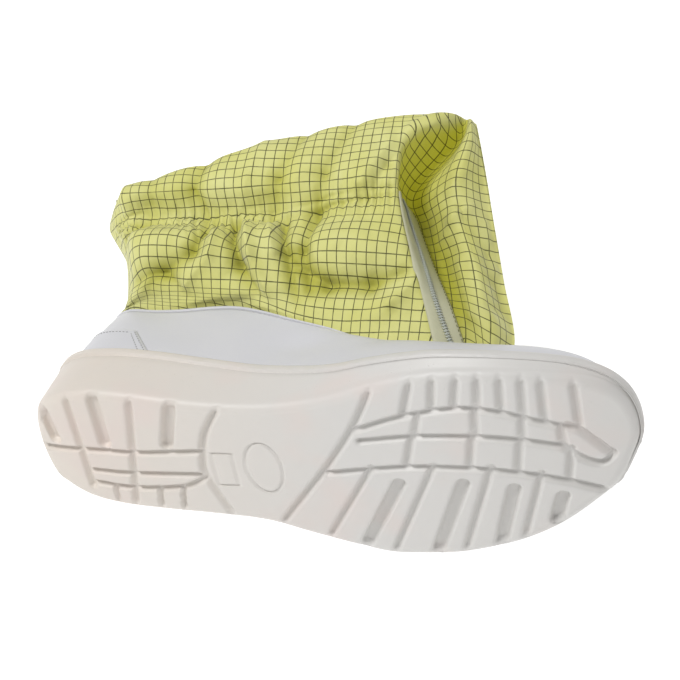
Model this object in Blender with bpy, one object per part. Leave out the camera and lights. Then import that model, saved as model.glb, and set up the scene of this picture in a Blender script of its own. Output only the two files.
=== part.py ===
"""Cleanroom boot, left foot: a moulded sole, a hollow low upper and a slack cloth shaft with a front zip.

The boot is modelled in shoe coordinates, in millimetres: X runs from heel to toe, Y to the outer
(lateral) side and Z up from the tread. The medial side is therefore at negative Y. At the end the whole
boot is laid on its outer side, as a boot with a slack shaft lies on a floor, and scaled to metres.
"""

import math

import bmesh
import bpy
from mathutils import Matrix, Vector

MM = 0.001

# Driving sizes of the last and the sole, millimetres
SOLE_LENGTH = 287.0
BALL_WIDTH = 105.0
TOE_SPRING = 13.0
SPRING_START = 190.0
HEEL_ROLL = 4.5
HEEL_ROLL_LENGTH = 28.0
WALL_HEIGHT = 36.0
TREAD_ROUNDING = 4.6
TREAD_ROUNDING_HEIGHT = 4.2
ROUNDED_INSET = 1.61
ROUNDED_HEIGHT = 1.05
MEDIAL_DRAFT = 3.0
LATERAL_DRAFT = 0.6
HEEL_FLARE = 3.0
HEEL_FLARE_LENGTH = 45.0
LIP_BAND = 5.0
LIP_STEP = 0.8
LIP_SLOPE = 0.48
LIP_CHAMFER = 0.3
LIP_WIDTH = 3.2
COLLAR_HEIGHT = 90.0
COLLAR_LENGTH = 217.5
COLLAR_START = 4.5
COLLAR_WIDTH = 62.0

# Walls and clearances, millimetres
CLEARANCE = 0.3
UPPER_WALL = 2.0
INSOLE_THICKNESS = 3.5
INSOLE_TAPER = 1.2
COUNTER_THICKNESS = 1.0
COUNTER_GAP = 0.45
COUNTER_HEAD_LENGTH = 36.0
COUNTER_FOOT_LENGTH = 52.0
COUNTER_DROP = 22.0
BINDING_HEIGHT = 2.4
BINDING_SHOULDER = 1.8
BINDING_GAP = 0.5
BINDING_OVERHANG = 0.6
CLOTH_WALL = 1.0

# Tread, millimetres
GROOVE_WIDTH = 3.6
GROOVE_FLOOR = 1.6
GROOVE_DEPTH = 3.6
SLOT_WIDTH = 6.2
SLOT_FLOOR = 5.0
SLOT_DEPTH = 5.6
SIPE_WIDTH = 2.2
EMBLEM_DEPTH = 0.8
DEPTH_STEP = 0.01
CUTTER_RISE = 1.5
WELD = 0.002
CURVE_STEP = 14.0
STRAIGHT_STEP = 30.0
DROP_STEP = 8.0

# Shaft, millimetres and degrees
SHAFT_LEAN = 40.0
SHAFT_ROOT_HEIGHT = 84.0
SHAFT_ROOT_OFFSET = 33.0
SHAFT_RISE = 100.0
SHAFT_FLAT = 200.0
SHAFT_DEPTH = 40.0
SHAFT_TUCK = 0.84
SHAFT_TUCK_GAP = 1.5
SHAFT_EDGE_GAP = 1.4
SHAFT_OVER_BINDING = 2.2
SHAFT_FOLD_OUT = 12.0
SHAFT_TAIL = 24.0
SHAFT_TAIL_HALF = 10.0
TAPE_THICKNESS = 0.7
TEETH_GAP = 0.6
TEETH_HEIGHT = 1.1
TEETH_FOOT = 1.9
TEETH_HEAD = 1.3

# Centre of weight, as shares of the sole's length and the collar's height, and the least slope of a face
# that the boot may rest on
CENTRE_ALONG = 0.45
CENTRE_UP = 0.3
LEAST_SLOPE = 0.1

# Samples, chosen to keep the triangles few
STATIONS = 36
UPPER_ROWS = 7
COUNTER_ROWS = 5
COUNTER_COLUMNS = 41
SHAFT_TOP_SAMPLES = 32
SHAFT_UNDER_SAMPLES = 16
BISECTIONS = 24
OVAL_STEPS = 28
RISE_STEP = 0.02

# Sole outline: along the length, medial and lateral half widths, as shares of length and ball width
OUTLINE = [
    (0.000, -0.030, 0.030),
    (0.010, 0.150, 0.185),
    (0.030, 0.243, 0.232),
    (0.070, 0.300, 0.292),
    (0.130, 0.326, 0.337),
    (0.210, 0.318, 0.360),
    (0.300, 0.298, 0.377),
    (0.390, 0.290, 0.402),
    (0.460, 0.304, 0.460),
    (0.530, 0.342, 0.515),
    (0.595, 0.402, 0.555),
    (0.650, 0.443, 0.551),
    (0.705, 0.468, 0.538),
    (0.765, 0.469, 0.502),
    (0.820, 0.457, 0.455),
    (0.875, 0.432, 0.380),
    (0.930, 0.388, 0.265),
    (0.965, 0.330, 0.170),
    (0.990, 0.235, 0.020),
    (1.000, 0.090, -0.090),
]

# Top of the side wall: along the length, height as a share of WALL_HEIGHT
WALL_TOP = [
    (0.000, 1.130),
    (0.055, 1.100),
    (0.115, 1.020),
    (0.200, 0.980),
    (0.300, 0.910),
    (0.390, 0.810),
    (0.453, 0.740),
    (0.500, 0.665),
    (0.575, 0.540),
    (0.650, 0.440),
    (0.730, 0.400),
    (0.800, 0.415),
    (0.850, 0.455),
    (0.910, 0.515),
    (1.000, 0.560),
]

# Depth of the foot's bed below the top of the side wall: along the length, millimetres as shares of 9 mm
BED_DEPTH = 9.0
BED = [(0.0, 1.0), (0.45, 1.0), (0.65, 0.70), (0.85, 0.62), (1.0, 0.50)]

# How much of its draft the side wall has: along the length, a share
DRAFT = [(0.0, 0.0), (0.12, 0.15), (0.35, 1.0), (0.85, 1.0), (1.0, 0.4)]

# Collar edge by the column of the sole it stands over: the column's place along the sole, then the
# edge's place along the collar, half width and height, as shares of the collar's own sizes
COLLAR = [
    (0.000, 0.000, -0.010, 1.000),
    (0.010, 0.008, 0.330, 0.990),
    (0.035, 0.028, 0.630, 0.965),
    (0.090, 0.085, 0.855, 0.912),
    (0.157, 0.168, 0.935, 0.856),
    (0.216, 0.240, 0.984, 0.834),
    (0.279, 0.315, 1.000, 0.850),
    (0.331, 0.376, 1.000, 0.850),
    (0.390, 0.445, 0.984, 0.812),
    (0.460, 0.528, 0.968, 0.742),
    (0.540, 0.620, 0.935, 0.680),
    (0.627, 0.713, 0.887, 0.600),
    (0.714, 0.805, 0.823, 0.535),
    (0.801, 0.885, 0.694, 0.540),
    (0.889, 0.949, 0.468, 0.615),
    (0.958, 0.986, 0.242, 0.670),
    (1.000, 1.000, 0.000, 0.690),
]

# How far each column's arc turns, degrees, and how square it is, by place along the sole
ARC = [
    (0.00, 52.0, 2.0),
    (0.10, 50.0, 2.0),
    (0.35, 48.0, 2.0),
    (0.50, 60.0, 2.0),
    (0.65, 74.0, 2.0),
    (0.80, 80.0, 2.0),
    (1.00, 82.0, 1.85),
]


def smooth_value(rows, place, column):
    """Read a column of a table at a place, on a smooth curve through its rows."""
    last = len(rows) - 1
    index = 0
    while index < last - 1 and place > rows[index + 1][0]:
        index += 1
    before, start = rows[max(index - 1, 0)], rows[index]
    end, after = rows[index + 1], rows[min(index + 2, last)]
    span = end[0] - start[0]
    t = min(max((place - start[0]) / span, 0.0), 1.0)
    slope_in = (end[column] - before[column]) / (end[0] - before[0]) * span
    slope_out = (after[column] - start[column]) / (after[0] - start[0]) * span
    t2, t3 = t * t, t * t * t
    return (
        (2 * t3 - 3 * t2 + 1) * start[column]
        + (t3 - 2 * t2 + t) * slope_in
        + (3 * t2 - 2 * t3) * end[column]
        + (t3 - t2) * slope_out
    )


def turned(rows):
    """Replace each row's place along the length by its angle, so that rounded ends stay smooth."""
    return [(math.acos(1.0 - 2.0 * row[0]) / math.pi,) + tuple(row[1:]) for row in rows]


OUTLINE_TURNED = turned(OUTLINE)
COLLAR_TURNED = turned(COLLAR)


def tread_height(x):
    """Height of the tread above the ground plane: the toe springs up and the heel is rolled."""
    height = 0.0
    if x > SPRING_START:
        height += TOE_SPRING * ((x - SPRING_START) / (SOLE_LENGTH - SPRING_START)) ** 2
    if x < HEEL_ROLL_LENGTH:
        height += HEEL_ROLL * ((HEEL_ROLL_LENGTH - x) / HEEL_ROLL_LENGTH) ** 2
    return height


def wall_top(x):
    """Height of the top of the sole's side wall."""
    return WALL_HEIGHT * smooth_value(WALL_TOP, min(max(x / SOLE_LENGTH, 0.0), 1.0), 1)


def bed_height(x):
    """Height of the bed that the insole lies on."""
    share = min(max(x / SOLE_LENGTH, 0.0), 1.0)
    return wall_top(x) - BED_DEPTH * smooth_value(BED, share, 1)


def sole_loop(inset, draft=0.0):
    """Points of the sole's outline, moved inwards, one per column from the heel by the medial side.

    A draft of 1 also takes in what the side wall slants by from its top to the tread.
    """
    flat = []
    for column in range(2 * STATIONS):
        medial = column <= STATIONS
        turn = (column if medial else 2 * STATIONS - column) / STATIONS
        x = SOLE_LENGTH * (1.0 - math.cos(math.pi * turn)) / 2.0
        width = smooth_value(OUTLINE_TURNED, turn, 1 if medial else 2)
        flat.append(Vector((x, -width * BALL_WIDTH if medial else width * BALL_WIDTH)))
    count = len(flat)
    moved = []
    for index, point in enumerate(flat):
        tangent = (flat[(index + 1) % count] - flat[index - 1]).normalized()
        inwards = Vector((-tangent.y, tangent.x))
        place = point.x / SOLE_LENGTH
        slant = smooth_value(DRAFT, place, 1)
        side = MEDIAL_DRAFT if index <= STATIONS else LATERAL_DRAFT
        moved.append(point + inwards * (inset + draft * slant * side))
    return moved


def flare(x, height):
    """How far the heel's back leans outwards at a height of the wall."""
    share = max(1.0 - x / HEEL_FLARE_LENGTH, 0.0)
    return HEEL_FLARE * share ** 2 * min(height / WALL_HEIGHT, 1.0)


UPPER_FOOT = sole_loop(LIP_WIDTH + CLEARANCE)


def mesh_object(name, vertices, faces, material):
    """Make an object from points in millimetres and faces."""
    mesh = bpy.data.meshes.new(name)
    mesh.from_pydata([tuple(MM * Vector(point)) for point in vertices], [], faces)
    mesh.validate()
    obj = bpy.data.objects.new(name, mesh)
    bpy.context.scene.collection.objects.link(obj)
    tidy = bmesh.new()
    tidy.from_mesh(mesh)
    bmesh.ops.recalc_face_normals(tidy, faces=tidy.faces)
    tidy.to_mesh(mesh)
    tidy.free()
    mesh.materials.append(material)
    return obj


def ladder(first, count, flip):
    """Faces that close a loop by joining each medial point to the lateral point across from it."""
    half = count // 2
    faces = []
    for step in range(half):
        near, far = first + step, first + step + 1
        near_across = first + (count - step) % count
        far_across = first + count - step - 1
        if step == 0:
            face = (near, far, far_across)
        elif step == half - 1:
            face = (near, far, near_across)
        else:
            face = (near, far, far_across, near_across)
        faces.append(face[::-1] if flip else face)
    return faces


def tube_faces(rows, count, closed=False):
    """Quads between neighbouring loops of equal size; closed also joins the last loop to the first."""
    faces = []
    for row in range(rows if closed else rows - 1):
        start, above = row * count, ((row + 1) % rows) * count
        for index in range(count):
            following = (index + 1) % count
            faces.append((start + index, start + following, above + following, above + index))
    return faces


def material(name, colour, roughness):
    """Make a Principled material for a piece."""
    made = bpy.data.materials.new(name)
    made.use_nodes = True
    shader = made.node_tree.nodes["Principled BSDF"]
    shader.inputs["Base Color"].default_value = colour + (1.0,)
    shader.inputs["Roughness"].default_value = roughness
    return made


def sole_body(finish):
    """Make the sole before its tread is cut: rounded tread edge, side wall, lip band and bed."""
    profile = [
        (TREAD_ROUNDING, 1.0, lambda x: tread_height(x)),
        (ROUNDED_INSET, 1.0, lambda x: tread_height(x) + ROUNDED_HEIGHT),
        (0.0, 1.0, lambda x: tread_height(x) + TREAD_ROUNDING_HEIGHT),
        (0.0, 0.0, lambda x: wall_top(x) - LIP_BAND),
        (-LIP_STEP, 0.0, lambda x: wall_top(x) - LIP_BAND + LIP_SLOPE),
        (-LIP_STEP, 0.0, lambda x: wall_top(x) - LIP_STEP),
        (LIP_CHAMFER, 0.0, lambda x: wall_top(x)),
        (LIP_WIDTH, 0.0, lambda x: wall_top(x)),
        (LIP_WIDTH, 0.0, lambda x: bed_height(x)),
    ]
    vertices = []
    for inset, draft, height in profile:
        for point in sole_loop(inset, draft):
            z = height(point.x)
            vertices.append((point.x - flare(point.x, z), point.y, z))
    count = 2 * STATIONS
    faces = tube_faces(len(profile), count)
    faces += ladder(0, count, True)
    faces += ladder((len(profile) - 1) * count, count, False)
    return mesh_object("sole", vertices, faces, finish)


# Tread grooves that run along the shoe: places along the length and across the ball width, medial positive
LONG_GROOVES = {
    "heel_row": [(0.000, -0.016), (0.085, -0.002), (0.185, -0.014), (0.309, 0.005)],
    "heel_band": [(0.090, -0.122), (0.162, -0.135), (0.290, -0.129)],
    "heel_edge": [(0.091, -0.195), (0.159, -0.220), (0.250, -0.204), (0.300, -0.148)],
    "forefoot_medial": [
        (0.572, 0.145), (0.652, 0.223), (0.732, 0.265), (0.794, 0.245), (0.850, 0.190), (0.905, 0.140),
    ],
    "forefoot_middle": [(0.580, 0.091), (0.670, 0.121), (0.754, 0.121), (0.823, 0.097), (0.890, 0.051)],
    "forefoot_lateral": [
        (0.515, -0.091), (0.640, -0.045), (0.735, -0.043), (0.810, -0.070), (0.884, -0.125), (0.962, -0.215),
    ],
    "waist_rear": [
        (0.375, 0.330), (0.356, 0.255), (0.320, 0.106), (0.303, -0.054), (0.304, -0.146), (0.330, -0.344),
        (0.345, -0.450),
    ],
    "waist_front": [(0.622, 0.420), (0.578, 0.190), (0.520, -0.040), (0.434, -0.330), (0.392, -0.480)],
}

# Grooves across a row: start and end, as along and across shares
CROSS_GROOVES = {
    "heel_back": (0.088, 0.340, 0.084, -0.215),
    "heel_front": (0.209, 0.360, 0.150, -0.380),
    "edge_1": (0.684, 0.480, 0.657, 0.245),
    "edge_2": (0.713, 0.490, 0.701, 0.270),
    "edge_3": (0.749, 0.490, 0.735, 0.278),
    "edge_4": (0.777, 0.490, 0.770, 0.270),
    "edge_5": (0.808, 0.480, 0.804, 0.258),
    "edge_6": (0.838, 0.470, 0.835, 0.220),
    "edge_7": (0.864, 0.460, 0.865, 0.190),
    "edge_8": (0.908, 0.430, 0.913, 0.150),
    "inner_1": (0.679, 0.243, 0.669, 0.136),
    "inner_2": (0.765, 0.272, 0.762, 0.136),
    "inner_3": (0.833, 0.222, 0.830, 0.110),
    "inner_4": (0.886, 0.160, 0.888, 0.068),
    "middle_1": (0.664, 0.130, 0.647, -0.030),
    "middle_2": (0.756, 0.134, 0.746, -0.030),
    "middle_3": (0.826, 0.105, 0.818, -0.058),
    "middle_4": (0.899, 0.040, 0.892, -0.115),
    "outer_1": (0.590, -0.050, 0.480, -0.520),
    "outer_2": (0.690, -0.030, 0.594, -0.570),
    "outer_3": (0.778, -0.040, 0.715, -0.540),
    "outer_4": (0.852, -0.080, 0.808, -0.500),
}

# Narrow cuts in the outer edge of the heel
HEEL_SIPES = {
    "sipe_1": (0.126, -0.205, 0.124, -0.360),
    "sipe_2": (0.210, -0.205, 0.200, -0.390),
    "sipe_3": (0.254, -0.195, 0.240, -0.400),
}

# Wide slots: start and end; the heel's are open at the medial edge, the forefoot's at the lateral edge
WIDE_SLOTS = {
    "heel_slot_back": (0.033, 0.205, 0.040, 0.050),
    "heel_slot_middle": (0.138, 0.360, 0.134, 0.040),
    "heel_slot_front": (0.283, 0.350, 0.247, 0.040),
    "outer_slot_1": (0.630, -0.135, 0.540, -0.570),
    "outer_slot_2": (0.732, -0.127, 0.664, -0.580),
    "outer_slot_3": (0.809, -0.157, 0.770, -0.540),
    "outer_slot_4": (0.880, -0.212, 0.868, -0.325),
}

# Drop-shaped pad near the toe: the loop of the groove around its front
TOE_DROP = [
    (0.896, 0.160), (0.915, 0.124), (0.949, 0.020), (0.958, -0.012), (0.943, -0.048), (0.924, -0.032),
    (0.902, 0.012), (0.883, 0.064),
]

# Bare oval ring and bare frame in the waist, where a real boot has its markings: centre and half sizes
OVAL_PLACE = (0.409, -0.072, 0.031, 0.137)
FRAME_PLACE = (0.340, -0.090, 0.018, 0.090)
MARK_LINE = 1.3


def finer(points, longest):
    """Put further points on a smooth curve through the given ones, none further apart than longest."""
    rows = [(float(index), point[0], point[1]) for index, point in enumerate(points)]
    path = []
    for index in range(len(points) - 1):
        gap = math.hypot(
            (points[index + 1][0] - points[index][0]) * SOLE_LENGTH,
            (points[index + 1][1] - points[index][1]) * BALL_WIDTH,
        )
        steps = max(1, math.ceil(gap / longest))
        for step in range(steps):
            place = index + step / steps
            path.append((smooth_value(rows, place, 1), smooth_value(rows, place, 2)))
    path.append((points[-1][0], points[-1][1]))
    return path


def groove_cutter(name, points, mouth, floor, depth, finish):
    """Make the solid that cuts one groove: a strip with slanted sides along a path on the tread."""
    flat = [Vector((along * SOLE_LENGTH, -across * BALL_WIDTH)) for along, across in points]
    sections = []
    for index, point in enumerate(flat):
        ahead = flat[min(index + 1, len(flat) - 1)]
        behind = flat[max(index - 1, 0)]
        tangent = (ahead - behind).normalized()
        side = Vector((-tangent.y, tangent.x))
        level = tread_height(point.x)
        outside = mouth / 2.0 + (mouth - floor) / 2.0 * CUTTER_RISE / depth
        sections.append([
            (point + side * outside).to_3d() + Vector((0, 0, level - CUTTER_RISE)),
            (point - side * outside).to_3d() + Vector((0, 0, level - CUTTER_RISE)),
            (point - side * floor / 2.0).to_3d() + Vector((0, 0, level + depth)),
            (point + side * floor / 2.0).to_3d() + Vector((0, 0, level + depth)),
        ])
    vertices = [vertex for section in sections for vertex in section]
    faces = tube_faces(len(sections), 4)
    last = (len(sections) - 1) * 4
    faces += [(3, 2, 1, 0), (last, last + 1, last + 2, last + 3)]
    return mesh_object(name, vertices, faces, finish)


def ring_cutter(name, loop, line, depth, finish):
    """Make the solid that cuts a thin closed line, such as an oval, into the tread."""
    count = len(loop)
    vertices = []
    for scale, height in ((0.5, -CUTTER_RISE), (-0.5, -CUTTER_RISE), (-0.5, depth), (0.5, depth)):
        for index in range(count):
            point = loop[index]
            tangent = (loop[(index + 1) % count] - loop[index - 1]).normalized()
            side = Vector((-tangent.y, tangent.x)) * line * scale
            place = point + side
            vertices.append((place.x, place.y, tread_height(place.x) + height))
    return mesh_object(name, vertices, tube_faces(4, count, closed=True), finish)


def oval_loop():
    """Points of the bare oval in the waist."""
    along, across, half_along, half_across = OVAL_PLACE
    loop = []
    for index in range(OVAL_STEPS):
        turn = 2.0 * math.pi * index / OVAL_STEPS
        loop.append(Vector((
            (along + half_along * math.cos(turn)) * SOLE_LENGTH,
            -(across + half_across * math.sin(turn)) * BALL_WIDTH,
        )))
    return loop


def frame_loop():
    """Points of the bare rectangular frame in the waist."""
    along, across, half_along, half_across = FRAME_PLACE
    corners = [(-1, -1), (1, -1), (1, 1), (-1, 1)]
    return [
        Vector(((along + side * half_along) * SOLE_LENGTH, -(across + end * half_across) * BALL_WIDTH))
        for side, end in corners
    ]


def cut(body, cutters):
    """Cut each cutter from the body in turn and remove the cutters."""
    for cutter in cutters:
        modifier = body.modifiers.new(cutter.name, "BOOLEAN")
        modifier.operation = "DIFFERENCE"
        modifier.solver = "EXACT"
        modifier.object = cutter
        evaluated = body.evaluated_get(bpy.context.evaluated_depsgraph_get())
        mesh = bpy.data.meshes.new_from_object(evaluated)
        tidy = bmesh.new()
        tidy.from_mesh(mesh)
        bmesh.ops.remove_doubles(tidy, verts=tidy.verts, dist=WELD * MM)
        bmesh.ops.dissolve_degenerate(tidy, edges=tidy.edges, dist=WELD * MM)
        tidy.to_mesh(mesh)
        tidy.free()
        body.modifiers.clear()
        body.data = mesh
        bpy.data.objects.remove(cutter)


def build_sole(finish):
    """Make the sole with its tread."""
    sole = sole_body(finish)
    grooves = [(name, finer(points, CURVE_STEP), GROOVE_WIDTH, GROOVE_FLOOR, GROOVE_DEPTH)
               for name, points in LONG_GROOVES.items()]
    grooves += [(name, finer([row[:2], row[2:]], STRAIGHT_STEP), GROOVE_WIDTH, GROOVE_FLOOR, GROOVE_DEPTH)
                for name, row in CROSS_GROOVES.items()]
    grooves += [(name, [row[:2], row[2:]], SIPE_WIDTH, SIPE_WIDTH, GROOVE_DEPTH)
                for name, row in HEEL_SIPES.items()]
    grooves += [(name, finer([row[:2], row[2:]], STRAIGHT_STEP), SLOT_WIDTH, SLOT_FLOOR, SLOT_DEPTH)
                for name, row in WIDE_SLOTS.items()]
    grooves.append(("toe_drop", finer(TOE_DROP, DROP_STEP), GROOVE_WIDTH, GROOVE_FLOOR, GROOVE_DEPTH))
    cutters = []
    for order, (name, path, mouth, floor, depth) in enumerate(grooves):
        cutters.append(groove_cutter(name, path, mouth, floor, depth + order * DEPTH_STEP, finish))
    cutters.append(ring_cutter("oval", oval_loop(), MARK_LINE, EMBLEM_DEPTH, finish))
    cutters.append(ring_cutter("frame", frame_loop(), MARK_LINE, EMBLEM_DEPTH, finish))
    cut(sole, cutters)
    return sole


def upper_edge(column):
    """Foot of the upper's outer face at a column: just inside the sole's lip, just over the bed."""
    count = len(UPPER_FOOT)
    before = math.floor(column)
    point = UPPER_FOOT[before % count].lerp(UPPER_FOOT[(before + 1) % count], column - before)
    height = bed_height(point.x) + CLEARANCE
    return Vector((point.x - flare(point.x, height), point.y, height))


def collar_edge(turn, medial):
    """A point of the collar's outer edge; turn runs from 0 at the heel to 1 at the throat."""
    along = smooth_value(COLLAR_TURNED, turn, 1)
    width = smooth_value(COLLAR_TURNED, turn, 2) * COLLAR_WIDTH / 2.0
    height = smooth_value(COLLAR_TURNED, turn, 3) * COLLAR_HEIGHT
    x = COLLAR_START + along * COLLAR_LENGTH
    return Vector((x, -width if medial else width, height))


def column_turn(column):
    """The turn from heel to toe of a column, and whether it is on the medial side."""
    column %= 2 * STATIONS
    medial = column <= STATIONS
    return (column if medial else 2 * STATIONS - column) / STATIONS, medial


def upper_point(column, rise):
    """A point of the upper's outer face: rise is 0 at the foot of the wall and 1 at the collar's edge."""
    turn, medial = column_turn(column)
    foot = upper_edge(column)
    edge = collar_edge(turn, medial)
    place = (1.0 - math.cos(math.pi * turn)) / 2.0
    end = math.radians(smooth_value(ARC, place, 1))
    square = 2.0 / smooth_value(ARC, place, 2)
    angle = rise * end
    inwards = (1.0 - math.cos(angle) ** square) / (1.0 - math.cos(end) ** square)
    upwards = math.sin(angle) ** square / math.sin(end) ** square
    point = foot.lerp(edge, inwards)
    point.z = foot.z + (edge.z - foot.z) * upwards
    return point


def upper_normal(column, rise):
    """Outward direction of the upper's face."""
    around = upper_point(column + 1, rise) - upper_point(column - 1, rise)
    above, below = min(rise + RISE_STEP, 1.0), max(rise - RISE_STEP, 0.0)
    upwards = upper_point(column, above) - upper_point(column, below)
    return around.cross(upwards).normalized()


def upper_offset(column, rise, distance):
    """A point at a distance outside the upper's outer face; a negative distance is inside it."""
    return upper_point(column, rise) + upper_normal(column, rise) * distance


def edge_direction(column):
    """Direction in which the upper's face runs over its collar edge."""
    return (upper_point(column, 1.0) - upper_point(column, 1.0 - 2.0 * RISE_STEP)).normalized()


def build_upper(finish):
    """Make the hollow upper, open at the collar and underneath."""
    count = 2 * STATIONS
    rises = [row / UPPER_ROWS for row in range(UPPER_ROWS + 1)]
    loops = [[upper_point(column, rise) for column in range(count)] for rise in rises]
    for rise in reversed(rises):
        loops.append([upper_offset(column, rise, -UPPER_WALL) for column in range(count)])
    vertices = [point for loop in loops for point in loop]
    return mesh_object("upper", vertices, tube_faces(len(loops), count, closed=True), finish)


def build_insole(finish):
    """Make the insole, which lies on the sole's bed inside the upper."""
    inset = LIP_WIDTH + CLEARANCE + UPPER_WALL + 2.0 * CLEARANCE
    bottom, top = [], []
    for loop, taper, lift in ((bottom, 0.0, 0.0), (top, INSOLE_TAPER, INSOLE_THICKNESS)):
        for point in sole_loop(inset + taper):
            height = bed_height(point.x) + CLEARANCE
            loop.append((point.x - flare(point.x, height), point.y, height + lift))
    count = len(bottom)
    faces = tube_faces(2, count) + ladder(0, count, True) + ladder(count, count, False)
    return mesh_object("insole", bottom + top, faces, finish)


def rise_at_height(column, height):
    """The rise at which a column's outer face reaches a height."""
    low, high = 0.0, 1.0
    for _ in range(BISECTIONS):
        middle = (low + high) / 2.0
        if upper_point(column, middle).z < height:
            low = middle
        else:
            high = middle
    return low


def column_at(x):
    """The medial column whose foot stands at a distance from the heel."""
    low, high = 0.0, float(STATIONS)
    for _ in range(BISECTIONS):
        middle = (low + high) / 2.0
        if upper_edge(middle).x < x:
            low = middle
        else:
            high = middle
    return low


def build_heel_counter(finish):
    """Make the heel counter, an overlay around the back of the upper with slanted front edges."""
    rows, width = COUNTER_ROWS, COUNTER_COLUMNS
    inner, outer = [], []
    for row in range(rows):
        share = row / (rows - 1)
        reach = column_at(COUNTER_FOOT_LENGTH + (COUNTER_HEAD_LENGTH - COUNTER_FOOT_LENGTH) * share)
        for step in range(width):
            column = reach * (2.0 * step / (width - 1) - 1.0)
            foot = rise_at_height(column, wall_top(upper_edge(column).x) + 2.0 * CLEARANCE)
            head = rise_at_height(column, collar_edge(*column_turn(column)).z - COUNTER_DROP)
            rise = foot + (head - foot) * share
            inner.append(upper_offset(column, rise, COUNTER_GAP))
            outer.append(upper_offset(column, rise, COUNTER_GAP + COUNTER_THICKNESS))
    size = rows * width
    faces = []
    for row in range(rows - 1):
        for step in range(width - 1):
            a = row * width + step
            faces.append((a, a + width, a + width + 1, a + 1))
            faces.append((size + a, size + a + 1, size + a + width + 1, size + a + width))
    rim = list(range(width)) + [row * width + width - 1 for row in range(1, rows)]
    rim += [(rows - 1) * width + step for step in range(width - 2, -1, -1)]
    rim += [row * width for row in range(rows - 2, 0, -1)]
    for step, here in enumerate(rim):
        following = rim[(step + 1) % len(rim)]
        faces.append((here, following, size + following, size + here))
    return mesh_object("heel_counter", inner + outer, faces, finish)


def build_collar_binding(finish):
    """Make the bead that binds the collar's edge."""
    count = 2 * STATIONS
    section = [
        (BINDING_OVERHANG, BINDING_GAP),
        (BINDING_OVERHANG, BINDING_SHOULDER),
        (-UPPER_WALL / 2.0, BINDING_HEIGHT),
        (-UPPER_WALL, BINDING_SHOULDER),
        (-UPPER_WALL, BINDING_GAP),
    ]
    loops = []
    for outwards, upwards in section:
        loop = []
        for column in range(count):
            loop.append(upper_offset(column, 1.0, outwards) + edge_direction(column) * upwards)
        loops.append(loop)
    vertices = [point for loop in loops for point in loop]
    return mesh_object("collar_binding", vertices, tube_faces(len(loops), count, closed=True), finish)


# Rings of the shaft that lean away from the collar, from just over its edge to the crest of the fold.
# Along the shoe, as shares of SHAFT_FLAT: heel edge, crease beside the zip, zip, valley, front panel and
# front edge. Up the shaft, as shares of SHAFT_RISE: heel edge, middle and front edge.
# Outwards from the leaning plane, as shares of SHAFT_DEPTH: panel, crease, zip, valley, front panel and
# front edge. Last, the under layer: up the shaft and outwards.
SHAFT_RINGS = [
    # heel, crease, zip, valley, front panel, edge, up heel, middle, front,
    # out panel, crease, zip, valley, front panel, edge, under up, under out
    (0.047, 0.900, 0.941, 0.992, 1.074, 1.121, 0.08, 0.00, -0.20,
     0.20, 0.22, 0.16, 0.02, 0.08, -0.28, -0.24, -1.15),
    (0.022, 0.855, 0.883, 0.915, 1.024, 1.078, 0.31, 0.24, 0.14,
     0.28, 0.20, -0.04, -0.45, -0.12, -0.50, 0.00, -1.18),
    (-0.033, 0.818, 0.829, 0.850, 0.960, 1.041, 0.46, 0.46, 0.47,
     -0.05, 0.08, -0.20, -0.75, -0.25, -0.55, 0.24, -1.12),
    (-0.030, 0.811, 0.800, 0.815, 0.945, 1.017, 0.55, 0.63, 0.70,
     0.15, 0.10, -0.30, -0.82, -0.30, -0.55, 0.42, -1.00),
    (-0.012, 0.808, 0.870, 0.925, 0.974, 0.999, 0.60, 0.86, 0.89,
     0.10, 0.05, -0.05, -0.58, -0.25, -0.40, 0.60, -0.85),
    (-0.008, 0.890, 0.940, 0.962, 0.978, 0.988, 0.62, 0.97, 0.97,
     -0.15, -0.15, -0.20, -0.34, -0.28, -0.38, 0.74, -0.76),
]

# Rings of the shaft beyond the crest: outwards as shares of SHAFT_FOLD_OUT, then of SHAFT_TAIL, height
# left as a share of the crest's, half thickness as a share of the tail's, turn of the layers in degrees,
# and how far the front's pleat is spread out again
FOLDED_RINGS = [
    (0.85, 0.0, 0.78, 1.30, 30.0, 0.1),
    (1.00, 0.0, 0.46, 1.00, 4.0, 0.3),
    (1.10, 0.0, 0.19, 0.95, 14.0, 0.5),
    (1.30, 0.35, 0.045, 0.95, 50.0, 0.7),
    (1.30, 1.2, 0.0, 1.00, 86.0, 0.9),
    (1.30, 2.1, 0.0, 1.00, 90.0, 1.0),
]

# Places around a ring, from the heel edge at 0 to the front edge at 1
PANEL_PLACE = 0.3
CREASE_PLACE = 0.625
ZIP_PLACE = 0.6875
VALLEY_PLACE = 0.75
FRONT_PANEL_PLACE = 0.875
EDGE_ROUNDING = 0.10

# Rings at which the shaft is sampled: 0 is tucked into the collar, 1 at its edge, 2 and 3 over the binding
SHAFT_ROWS = (0, 1, 2, 3, 3.4, 4, 4.5, 5, 5.5, 6, 6.5, 7, 8, 9, 10, 11, 12, 13, 14, 15)
ZIP_FROM_ROW, ZIP_TO_ROW = 4, 9


def leaning_point(x, up, out):
    """A point beside the plane in which the shaft leans to the medial side, in millimetres."""
    lean = math.radians(SHAFT_LEAN)
    sideways = SHAFT_ROOT_OFFSET + up * math.sin(lean) + out * math.cos(lean)
    height = SHAFT_ROOT_HEIGHT + up * math.cos(lean) - out * math.sin(lean)
    return Vector((x, -sideways, height))


def edge_weight(place):
    """How much of a layer's own place a ring's point keeps near the ring's folded edges."""
    reach = min(place, 1.0 - place) / EDGE_ROUNDING
    return math.sin(math.pi / 2.0 * min(reach, 1.0))


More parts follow.
